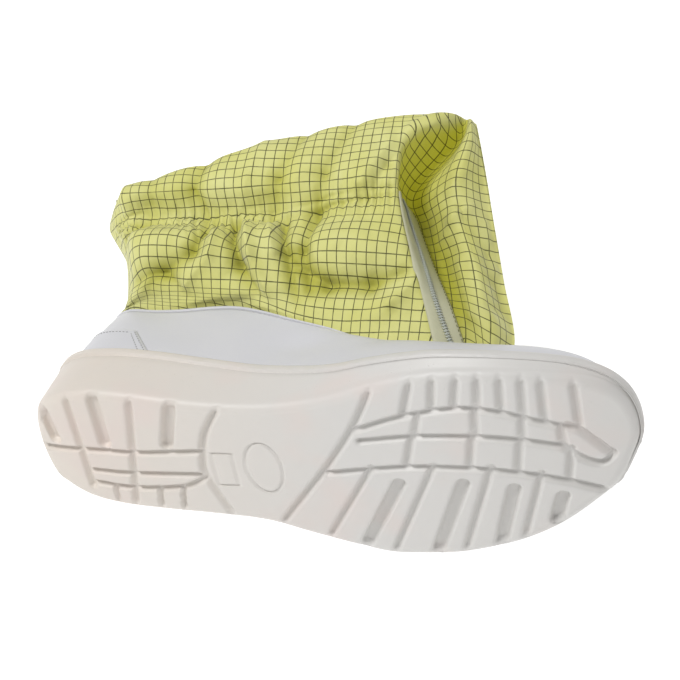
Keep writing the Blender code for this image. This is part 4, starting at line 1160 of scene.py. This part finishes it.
    def build_binding(self, finish: bpy.types.Material) -> bpy.types.Object:
        """Build the bead that binds the collar's edge."""
        edge, normal = self.outer[-1], self.normals[-1]
        direction = unit(self.outer[-1] - self.outer[-2])
        middle = (self.binding_overhang - self.wall) / 2.0
        half_width = (self.binding_overhang + self.wall) / 2.0
        centre = (self.binding_height + self.binding_gap) / 2.0
        half_height = (self.binding_height - self.binding_gap) / 2.0
        flat, tall = self.binding_roundness
        loops = []
        for turn in np.linspace(0.0, 2.0 * np.pi, self.binding_sides, endpoint=False):
            outwards = middle + half_width * math.copysign(abs(math.cos(turn)) ** flat, math.cos(turn))
            upwards = centre + half_height * math.copysign(abs(math.sin(turn)) ** tall, math.sin(turn))
            loops.append(edge + normal * outwards + direction * upwards)
        faces = tube_faces(len(loops), len(edge))
        return Piece("collar_binding_bead", np.concatenate(loops), faces).make(finish, "white_upper")


@dataclass
class ClothShaft:
    """The slack cloth shaft: tucked into the collar, gathered, folded over and open at its end."""

    upper: WhiteUpper
    lean: float = 40.0
    root_height: float = 84.0
    root_offset: float = 33.0
    rise: float = 100.0
    flat: float = 200.0
    depth: float = 40.0
    tuck: float = 0.84
    below_edge: float = 0.96
    tuck_gap: float = 1.5
    edge_gap: float = 1.4
    over_binding: float = 2.2
    fold_out: float = 12.0
    tail: float = 24.0
    tail_half: float = 10.0
    wall: float = 0.5
    fold_gain: float = 1.22
    crispness: float = 1.25
    lower_stretch: float = 0.82
    crease_on_collar: float = 0.69
    band_slope: float = 11.0
    band_rise: float = 6.0
    panel_place: float = 0.3
    crease_place: float = 0.625
    zip_place: float = 0.6875
    valley_place: float = 0.75
    front_place: float = 0.875
    panel_fade: tuple[float, float] = (-0.02, 0.03)
    front_fade: float = 0.05
    gusset_margin: float = 0.01
    edge_rounding: float = 0.10
    top_columns: int = 260
    under_columns: int = 56
    pucker_pitch: float = 4.6
    pucker_rise: float = 0.95
    pucker_mean: float = 0.65
    pucker_above: float = 9.0
    pucker_below: float = 8.0
    belly_ring: float = 4.6
    gather_ring: float = 6.0
    panel_hollow: float = 1.6
    loose_rise: float = 1.6
    loose_length: float = 9.0
    loose_slant: float = 0.03
    under_out: float = 2.4
    under_length: float = 7.0
    under_slant: float = 19.0
    # Painted shade: how deep a fold is at its full share, the most share in folds, and the share in the open
    # gusset and in its pocket
    painted_shade_depth: float = 5.0
    painted_fold_shade_most: float = 0.75
    gusset_painted_shade: float = 0.95
    pocket_painted_shade: float = 0.70

    def leaning(self, x: np.ndarray, up: np.ndarray, out: np.ndarray) -> np.ndarray:
        """Points beside the plane in which the shaft leans, in shoe coordinates."""
        lean = math.radians(self.lean)
        sideways = self.root_offset + up * math.sin(lean) + out * math.cos(lean)
        height = self.root_height + up * math.cos(lean) - out * math.sin(lean)
        return np.stack([x, -sideways, height], axis=-1)

    def plane_up(self, points: np.ndarray) -> np.ndarray:
        """How far up the leaning plane points lie."""
        lean = math.radians(self.lean)
        return ((points[..., 2] - self.root_height) * math.cos(lean)
                + (-points[..., 1] - self.root_offset) * math.sin(lean))

    def edge_weight(self, place: np.ndarray) -> np.ndarray:
        """How much of its own place a layer keeps near the folded edges."""
        reach = np.minimum(place, 1.0 - place) / self.edge_rounding
        return np.sin(np.pi / 2.0 * np.minimum(reach, 1.0))

    def leaning_ring(self, values: Sequence[float], place: np.ndarray, under: bool) -> np.ndarray:
        """Points of one leaning ring, on the medial layer or the one under it."""
        ring = dict(zip(SHAFT_COLUMNS, values))
        weight = self.edge_weight(place)
        near_heel = place < 0.5
        under_up, under_out = ring["under_up"] * self.rise, ring["under_out"] * self.depth
        edge_up = np.where(near_heel, ring["up_heel"], ring["up_front"]) * self.rise
        edge_out = np.where(near_heel, under_out / 2.0, ring["out_front"] * self.depth)
        if under:
            x = (ring["heel"] + (ring["front"] - ring["heel"]) * place) * self.flat
            return self.leaning(x, edge_up + (under_up - edge_up) * weight,
                                edge_out + (under_out - edge_out) * weight)
        panel = ring["heel"] + (ring["crease"] - ring["heel"]) * self.panel_place / self.crease_place
        across = (
            (0.0, ring["heel"], ring["out_panel"]), (self.panel_place, panel, ring["out_panel"]),
            (self.crease_place, ring["crease"], ring["out_crease"]),
            (self.zip_place, ring["zip"], ring["out_zip"]),
            (self.valley_place, ring["valley"], ring["out_valley"]),
            (self.front_place, ring["front_panel"], ring["out_front_panel"]),
            (1.0, ring["front"], ring["out_front"]),
        )
        along = ((0.0, ring["up_heel"]), (0.5, ring["up_middle"]), (1.0, ring["up_front"]))
        x = read_table(across, place, 1) * self.flat
        up = read_table(along, place, 1) * self.rise
        out = read_table(across, place, 2) * self.depth
        return self.leaning(x, up, edge_out + (out - edge_out) * weight)

    def collar_rings(self, place: np.ndarray, under: bool) -> list[np.ndarray]:
        """Rings at the collar: tucked in, at the edge and twice over the binding."""
        upper = self.upper
        forward = np.interp(place, (0.0, self.crease_place, 1.0), (0.0, self.crease_on_collar, 1.0))
        column = (place if under else forward) * upper.shape.stations * (-1.0 if under else 1.0)
        ones = np.ones(place.shape)
        tucked = upper.face_at(column, ones * self.tuck, -ones * (upper.wall + self.tuck_gap))
        edge = upper.face_at(column, ones, -ones * (upper.wall + self.edge_gap))
        below = upper.face_at(column, ones * self.below_edge, 0.0 * ones)
        direction = unit(upper.face_at(column, ones, 0.0 * ones) - below)
        over = upper.face_at(column, ones, ones * upper.binding_overhang)
        return [tucked, edge, edge + direction * (upper.binding_height + self.edge_gap),
                over + direction * (upper.binding_height + self.over_binding)]

    def folded_rings(self, place: np.ndarray, under: bool) -> list[np.ndarray]:
        """Rings beyond the crest, down to the floor and out to the open end."""
        rows = np.asarray(LAID_ROWS)
        turn, shift = rows[:, :3], np.array([0.0, 0.0, rows[2, 3] / MM])
        top = self.leaning_ring(SHAFT_RINGS[-1], place, False) @ turn.T + shift
        bottom = self.leaning_ring(SHAFT_RINGS[-1], place, True) @ turn.T + shift
        crest = (top + bottom) / 2.0
        weight = self.edge_weight(place) * (-1.0 if under else 1.0)
        rings = []
        for fold, tail, height, thickness, degrees, spread in FOLDED_RINGS:
            angle = math.radians(degrees)
            half = thickness * self.tail_half * weight
            x = bottom[:, 0] if under else top[:, 0] + (bottom[:, 0] - top[:, 0]) * spread
            y = crest[:, 1] + fold * self.fold_out + tail * self.tail + half * math.cos(angle)
            z = self.tail_half + (crest[:, 2] - self.tail_half) * height + half * math.sin(angle)
            rings.append((np.column_stack([x, y, z]) - shift) @ turn)
        return rings

    def grid(self) -> np.ndarray:
        """The outer face before its small folds, ring by ring."""
        rows = np.concatenate([np.linspace(*span[:3], endpoint=span[3]) for span in RING_SPANS])
        layers = []
        for under, count in ((False, self.top_columns), (True, self.under_columns)):
            place = np.arange(count) / count
            place = 1.0 - place if under else place
            rings = self.collar_rings(place, under)
            rings += [self.leaning_ring(ring, place, under) for ring in SHAFT_RINGS]
            rings += self.folded_rings(place, under)
            stack = np.array(rings)
            layer = np.empty((len(rows), count, 3))
            for axis in range(3):
                layer[..., axis] = self.along_rings(stack[..., axis], rows)
            layers.append(layer)
        self.ring_rows = rows
        return np.concatenate(layers, axis=1)

    def along_rings(self, values: np.ndarray, rows: np.ndarray) -> np.ndarray:
        """Read each column of rings at real ring numbers, on smooth curves."""
        last = len(values) - 1
        index = np.clip(np.ceil(rows).astype(int) - 1, 0, last - 1)
        t = np.clip(rows - index, 0.0, 1.0)[:, None]
        start, end = values[index], values[index + 1]
        before, after = values[np.maximum(index - 1, 0)], values[np.minimum(index + 2, last)]
        slope_in = (end - before) / np.where(index > 0, 2.0, 1.0)[:, None]
        slope_out = (after - start) / np.where(index < last - 1, 2.0, 1.0)[:, None]
        return smooth_span(start, end, slope_in, slope_out, t)

    def fold_height(self, x: np.ndarray, up: np.ndarray, folds: Sequence[Sequence[float]]) -> np.ndarray:
        """Height of a table's folds at places on the leaning plane."""
        height = np.zeros(x.shape)
        for x0, up0, x1, up1, width, rise in folds:
            distance = path_distance(x, up, np.array([[x0, up0], [x1, up1]], float))
            height += rise * np.exp(-(distance / width) ** self.crispness)
        return height

    def gather_height(self, x: np.ndarray, up: np.ndarray, across: np.ndarray) -> np.ndarray:
        """Height of the elastic's line and the puckers beside it."""
        off_line = up - np.interp(x, *zip(*ELASTIC))
        phase = 2.0 * np.pi * (across + wave_sum(across, PUCKER_WANDER)) / self.pucker_pitch
        fade = np.exp(-(np.maximum(off_line, 0.0) / self.pucker_above) ** 2)
        fade *= np.exp(-(np.maximum(-off_line, 0.0) / self.pucker_below) ** 2)
        uneven = self.pucker_mean + wave_sum(across, PUCKER_UNEVEN)
        reach = 1.0 + wave_sum(across, PUCKER_REACH)
        waves = sum(share * np.cos(rate * phase + shift) for share, rate, shift in PUCKERS)
        height = self.pucker_rise * uneven * waves * fade ** (1.0 / reach)
        for above, half, depth, variation in ELASTIC_LINES:
            height -= (depth + wave_sum(across, variation)) * np.exp(-((off_line - above) / half) ** 2)
        return height

    def upright_lines(self, x: np.ndarray, across: np.ndarray, gather_row: int) -> np.ndarray:
        """Place of every point across the cloth, so that the grid's lines stay upright on the panel.

        Args:
            x: Places along the shoe, row by row.
            across: Lengths around the shaft, one for each column.
            gather_row: The row whose columns keep their lengths.

        Returns:
            One length for each point.
        """
        crease = round(self.crease_place * self.top_columns)
        shift = np.zeros(x.shape)
        reference, flat = x[gather_row, :crease + 1], across[:crease + 1]
        for row, places in enumerate(x[:, :crease + 1]):
            beyond = (places - reference[-1]).clip(min=0.0) - (reference[0] - places).clip(min=0.0)
            shift[row, :crease + 1] = np.interp(places, reference, flat) + beyond - flat
        fading = 1.0 - np.arange(self.top_columns - crease - 1) / (self.top_columns - crease - 1)
        shift[:, crease + 1:self.top_columns] = shift[:, crease:crease + 1] * fading
        shift[:, self.top_columns:] = shift[:, :1] * np.linspace(0.0, 1.0, self.under_columns) ** 3
        return across + shift

    def build(self, finish: bpy.types.Material) -> bpy.types.Object:
        """Build the shaft with its folds and its cloth map."""
        base = self.grid()
        top, under = self.top_columns, self.under_columns
        place = np.concatenate([np.arange(top) / top, 1.0 - np.arange(under) / under])
        across, upwards = self.cloth_lengths(base)
        height, painted_shade_share, glow = self.relief(base, place, across, upwards)
        self.surface = base + grid_normals(base) * height[..., None]
        self.directions = grid_normals(self.surface)
        inner = self.surface - self.directions * self.wall
        loops = np.concatenate([self.surface, inner[::-1]])
        lines = self.upright_lines(base[..., 0], across, self.nearest_row(self.gather_ring))
        map_points = np.stack([lines, upwards], axis=-1)
        # The painted shade and the painted glow go on the mesh as attributes for the cloth's finish
        piece = Piece(
            "shaft_cloth", loops.reshape(-1, 3), tube_faces(*loops.shape[:2]),
            {"painted_shade_share": np.concatenate([painted_shade_share, painted_shade_share[::-1]]).ravel(),
             "glow": np.concatenate([glow, np.zeros(glow.shape)]).ravel()},
            np.concatenate([map_points, map_points[::-1]]).reshape(-1, 2),
        )
        return piece.make(finish, "gridded_cloth")

    def nearest_row(self, ring: float) -> int:
        """The grid's row that lies nearest to a ring number."""
        return int(np.argmin(np.abs(self.ring_rows - ring)))

    def cloth_lengths(self, base: np.ndarray) -> tuple[np.ndarray, np.ndarray]:
        """Lengths around the cloth, one for each column, and up it, one for each point, from the elastic."""
        belly = base[self.nearest_row(self.belly_ring)]
        steps = np.linalg.norm(np.diff(belly, axis=0, append=belly[:1]), axis=-1)
        across = np.concatenate([[0.0], np.cumsum(steps)[:-1]])
        across[self.top_columns + self.under_columns // 2:] -= steps.sum()
        rows_up = np.linalg.norm(np.diff(base, axis=0), axis=-1)
        upwards = np.concatenate([np.zeros((1, base.shape[1])), np.cumsum(rows_up, axis=0)])
        upwards = upwards - upwards[self.nearest_row(self.gather_ring)]
        return across, np.where(upwards < 0.0, upwards * self.lower_stretch, upwards)

    def relief(self, base: np.ndarray, place: np.ndarray, across: np.ndarray,
               upwards: np.ndarray) -> tuple[np.ndarray, np.ndarray, np.ndarray]:
        """The cloth's small folds.

        Args:
            base: The outer face before them.
            place: Each column's place around a ring.
            across: Lengths around the cloth.
            upwards: Lengths up the cloth.

        Returns:
            The height, the share of painted shade in the folds and the open gusset, and the painted glow that
            stands in for light through the cloth, at each point.
        """
        x, up, rows = base[..., 0], self.plane_up(base), self.ring_rows[:, None]
        on_top = np.zeros(base.shape[:2])
        on_top[:, :self.top_columns] = soft_step(*TOP_IN, place[:self.top_columns])
        under = np.zeros(base.shape[:2])
        under[:, self.top_columns:] = self.edge_weight(place[self.top_columns:])
        panel = on_top * (1.0 - soft_step(*self.panel_fade, place - self.crease_place))
        front = on_top * soft_step(self.valley_place, self.valley_place + self.front_fade, place)
        front *= 1.0 - soft_step(*FRONT_OUT, place)
        gusset = on_top * soft_step(self.crease_place, self.zip_place, place)
        margin = self.gusset_margin
        gusset *= 1.0 - soft_step(self.valley_place + margin, self.front_place - margin, place)
        body = soft_step(*BODY_IN, rows) * (1.0 - soft_step(*BODY_OUT, rows))
        loose = soft_step(*LOOSE_IN, rows) * (1.0 - soft_step(*LOOSE_OUT, rows))
        crest = soft_step(*CREST_IN, rows - self.band_slope * (place - self.crease_place))
        height = self.fold_gain * self.fold_height(x, up, SHAFT_FOLDS)
        height = (height + round_bumps(x, up, SHAFT_BELLIES) + self.gather_height(x, up, across)) * panel
        height += np.maximum(self.fold_height(x, up, PANEL_FOLDS), -self.panel_hollow) * front
        height += self.band_rise * crest * gusset * (1.0 - soft_step(*BAND_OUT, rows))
        height *= body
        loose_wave = np.sin(across / self.loose_length + self.loose_slant * upwards)
        height += loose * self.loose_rise * loose_wave * self.edge_weight(place)
        under_wave = np.sin(across / self.under_length + upwards / self.under_slant)
        height += under * body * (self.under_out + under_wave)
        # Painted shade in the folds' hollows and in the open gusset; a painted glow in the gusset's pocket
        open_gusset = gusset * body * (1.0 - crest)
        pocket = soft_step(*POCKET_IN, rows)
        shade = self.gusset_painted_shade + (self.pocket_painted_shade - self.gusset_painted_shade) * pocket
        painted_shade_share = np.clip(-height / self.painted_shade_depth, 0.0, 1.0) * self.painted_fold_shade_most
        return height, np.maximum(painted_shade_share, open_gusset * shade), open_gusset * pocket


@dataclass
class FrontZip:
    """The zip on the shaft: its tape and its closed coil."""

    shaft: ClothShaft
    tape_from: float = 0.640
    tape_to: float = 0.735
    row_from: float = 3.25
    row_to: float = 6.45
    lift: float = 0.5
    tape_thickness: float = 0.7
    tape_columns: int = 15
    tape_edge: float = 0.5
    tape_edge_steps: float = 3.0
    coil_offset: float = 0.003
    coil_reach: float = 0.006
    coil_end: float = 0.6
    coil_pitch: float = 1.5
    coil_width: float = 1.7
    coil_shift: float = 0.28
    coil_height: float = 0.45
    rib_half: float = 0.52
    rib_width: float = 0.42
    rib_tall: float = 0.62
    rib_low: float = 0.50
    thread_inset: float = 0.006

    def ribbon(self, places: np.ndarray) -> tuple[np.ndarray, np.ndarray]:
        """Points and outward directions on the shaft, row by row, at places around it."""
        rows = np.where((self.shaft.ring_rows >= self.row_from) & (self.shaft.ring_rows <= self.row_to))[0]
        top = self.shaft.top_columns
        made = []
        for grid in (self.shaft.surface, self.shaft.directions):
            real = places * top
            low, share = np.floor(real).astype(int), (real % 1.0)[None, :, None]
            made.append(grid[rows][:, low] * (1.0 - share) + grid[rows][:, low + 1] * share)
        return made[0], unit(made[1])

    def build_tape(self, finish: bpy.types.Material) -> bpy.types.Object:
        """Build the woven tape."""
        places = np.linspace(self.tape_from, self.tape_to, self.tape_columns)
        points, out = self.ribbon(places)
        rows, count = points.shape[:2]
        edge = np.minimum(np.arange(count), np.arange(count)[::-1])[None, :, None]
        thickness = self.tape_thickness * np.clip(self.tape_edge + edge / self.tape_edge_steps, 0.0, 1.0)
        inner, outer = points + out * self.lift, points + out * (self.lift + thickness)
        loops = np.concatenate([outer, inner[:, ::-1]], axis=1)
        faces = grid_faces(rows, 2 * count, True)[:, ::-1].tolist()
        faces.append(tuple(range(2 * count)))
        faces.append(tuple(reversed(range((rows - 1) * 2 * count, rows * 2 * count))))
        return Piece("zip_tape_woven", loops.reshape(-1, 3), faces).make(finish, "zip_nylon")

    def build_coil(self, finish: bpy.types.Material) -> bpy.types.Object:
        """Build the closed coil as small ribs across the middle of the tape."""
        middle = self.shaft.zip_place + self.coil_offset
        points, out = self.ribbon(np.array([middle - self.coil_reach, middle, middle + self.coil_reach]))
        path, length = points[:, 1], path_lengths(points[:, 1])
        stops = np.arange(self.coil_end, length[-1] - self.coil_end, self.coil_pitch / 2.0)
        centre, lift = read_path(path, length, stops), unit(read_path(out[:, 1], length, stops))
        side = unit(read_path(unit(points[:, 2] - points[:, 0]), length, stops))
        forward = unit(np.cross(lift, side))
        base = self.lift + self.tape_thickness + self.coil_height
        blocks: list[np.ndarray] = []
        faces: list[tuple[int, ...]] = []
        for index in range(len(stops)):
            shift = self.coil_width * self.coil_shift * (1.0 if index % 2 else -1.0)
            middle_point = centre[index] + lift[index] * base + side[index] * shift
            ring = []
            for end in (-1.0, 1.0):
                height = self.rib_tall if end * shift > 0 else self.rib_low
                for angle in np.radians(RIB_CORNERS):
                    ring.append(middle_point + side[index] * end * self.coil_width * self.rib_half
                                + forward[index] * math.cos(angle) * self.rib_width
                                + lift[index] * math.sin(angle) * height)
            first = len(blocks) * len(ring)
            blocks.append(np.array(ring))
            near, far = list(range(first, first + 4)), list(range(first + 4, first + 8))
            faces += [tuple(near), tuple(reversed(far))]
            faces += [(near[a], far[a], far[(a + 1) % 4], near[(a + 1) % 4]) for a in range(4)]
        return Piece("zip_coil", np.concatenate(blocks), faces).make(finish, "zip_nylon")

    def thread_line(self) -> tuple[np.ndarray, np.ndarray]:
        """The stitching along the front edge of the tape, with its outward directions."""
        points, out = self.ribbon(np.array([self.tape_to - self.thread_inset]))
        return points[:, 0] + out[:, 0] * (self.lift + self.tape_thickness), out[:, 0]


@dataclass
class Stitching:
    """A run of stitches as small rounded bars of thread."""

    name: str
    length: float
    gap: float
    radius: float
    sides: int = 6
    lift: float = 0.3

    def build(self, lines: list[tuple[np.ndarray, np.ndarray]], finish: bpy.types.Material,
              slot: str) -> bpy.types.Object:
        """Build the stitches along lines of points with outward directions."""
        blocks: list[np.ndarray] = []
        faces: list[tuple[int, ...]] = []
        size = len(STITCH_PROFILE) * self.sides
        for path, outwards in lines:
            length = path_lengths(path)
            stop = self.length
            while stop < length[-1] - self.length / 2.0:
                start = read_path(path, length, stop - self.length / 2.0)
                end = read_path(path, length, stop + self.length / 2.0)
                out = unit(read_path(outwards, length, stop))
                forward = unit(end - start)
                side = np.cross(out, forward)
                centre = (start + end) / 2.0 + out * self.radius * self.lift
                ring = []
                for place, scale in STITCH_PROFILE:
                    for turn in np.linspace(0.0, 2.0 * np.pi, self.sides, endpoint=False):
                        ring.append(centre + forward * place * self.length
                                    + (side * math.cos(turn) + out * math.sin(turn)) * self.radius * scale)
                first = len(blocks) * size
                blocks.append(np.array(ring))
                faces += grid_faces(len(STITCH_PROFILE), self.sides, True, first)[:, ::-1].tolist()
                faces += [tuple(range(first, first + self.sides)),
                          tuple(reversed(range(first + size - self.sides, first + size)))]
                stop += self.length + self.gap
        return Piece(self.name, np.concatenate(blocks), faces).make(finish, slot)


@dataclass(frozen=True)
class Studio:
    """A pale floor, soft studio light and the camera at the photo's angle."""

    camera_place: tuple[float, float, float] = (0.13012, -0.47632, 0.47355)
    camera_right: tuple[float, float, float] = (0.97059, 0.23260, -0.06210)
    camera_up: tuple[float, float, float] = (-0.11331, 0.66895, 0.73462)
    camera_forward: tuple[float, float, float] = (-0.21241, 0.70598, -0.67563)
    lens_mm: float = 65.8
    sensor_mm: float = 36.0
    floor_size: float = 60.0
    floor_height: float = -0.0004
    floor_grey: float = 0.40
    floor_glow: float = 0.90
    air_strength: float = 0.32
    aim: tuple[float, float, float] = (0.0, 0.0, 0.05)

    def build(self) -> None:
        """Build the floor, the lights and the camera."""
        scene = bpy.context.scene
        scene.view_settings.view_transform = "Standard"
        world = bpy.data.worlds.new("studio_air")
        scene.world = world
        world.use_nodes = True
        air = world.node_tree.nodes["Background"]
        air.inputs["Color"].default_value = (1.0, 1.0, 1.0, 1.0)
        air.inputs["Strength"].default_value = self.air_strength
        floor = Finish("pale_floor", (self.floor_grey,) * 3, 0.9, {"Emission Strength": self.floor_glow})
        floor.shader.inputs["Emission Color"].default_value = (1.0, 1.0, 1.0, 1.0)
        half = self.floor_size / 2.0
        corners = [(x * half, y * half, self.floor_height) for x, y in ((-1, -1), (1, -1), (1, 1), (-1, 1))]
        mesh = bpy.data.meshes.new("floor")
        mesh.from_pydata(corners, [], [(0, 1, 2, 3)])
        mesh.materials.append(floor.material)
        plane = bpy.data.objects.new("floor", mesh)
        scene.collection.objects.link(plane)
        plane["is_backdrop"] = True
        for lamp in LIGHTS:
            self.light(*lamp)
        self.camera()

    def light(self, name: str, place: tuple[float, float, float], size: float, power: float) -> None:
        """Add a square soft light that faces the boot."""
        lamp = bpy.data.lights.new(name, "AREA")
        lamp.size = size
        lamp.energy = power
        obj = bpy.data.objects.new(name, lamp)
        bpy.context.scene.collection.objects.link(obj)
        obj.location = place
        obj.rotation_euler = (Vector(self.aim) - Vector(place)).to_track_quat("-Z", "Y").to_euler()

    def camera(self) -> None:
        """Set the camera."""
        lens = bpy.data.cameras.new("photo_camera")
        lens.lens = self.lens_mm
        lens.sensor_width = self.sensor_mm
        obj = bpy.data.objects.new("photo_camera", lens)
        bpy.context.scene.collection.objects.link(obj)
        backward = [-part for part in self.camera_forward]
        axes = Matrix((self.camera_right, self.camera_up, backward)).transposed()
        obj.matrix_world = Matrix.Translation(self.camera_place) @ axes.to_4x4()
        bpy.context.scene.camera = obj


def main() -> None:
    """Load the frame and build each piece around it."""
    logging.basicConfig(level=logging.INFO, format="%(name)s: %(message)s")
    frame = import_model()
    shape = Shape()
    white = UpperFinish().make()
    cloth = GriddedClothFinish().make()
    fibres = {name: FibreFinish(name, *values).make() for name, values in FIBRES.items()}

    sole = MouldedSole(shape).build(MouldedSoleFinish().make())
    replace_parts(sole, "sole")
    upper = WhiteUpper(shape)
    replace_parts(upper.build_upper(white), "upper")
    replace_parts(upper.build_counter(white), "heel_counter")
    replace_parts(upper.build_binding(white), "collar_binding")
    counter_stitches = Stitching("counter_stitches", length=1.5, gap=0.9, radius=0.2)
    counter_stitches.build(upper.stitch_lines(), fibres["white_thread"], "white_upper")
    shaft = ClothShaft(upper)
    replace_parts(shaft.build(cloth), "shaft")
    front_zip = FrontZip(shaft)
    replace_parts(front_zip.build_tape(fibres["zip_tape_nylon"]), "zip_tape")
    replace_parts(front_zip.build_coil(fibres["zip_coil_nylon"]), "zip_teeth")
    tape_stitches = Stitching("tape_stitches", length=1.5, gap=1.0, radius=0.2)
    tape_stitches.build([front_zip.thread_line()], fibres["dark_thread"], "zip_nylon")
    insole = frame["nodes"]["insole"]
    insole.data.materials.clear()
    insole.data.materials.append(fibres["grey_felt"])
    Studio().build()
    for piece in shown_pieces():
        LOG.info("%s: %d faces", piece.name, len(piece.data.polygons))


if __name__ == "__main__":
    main()
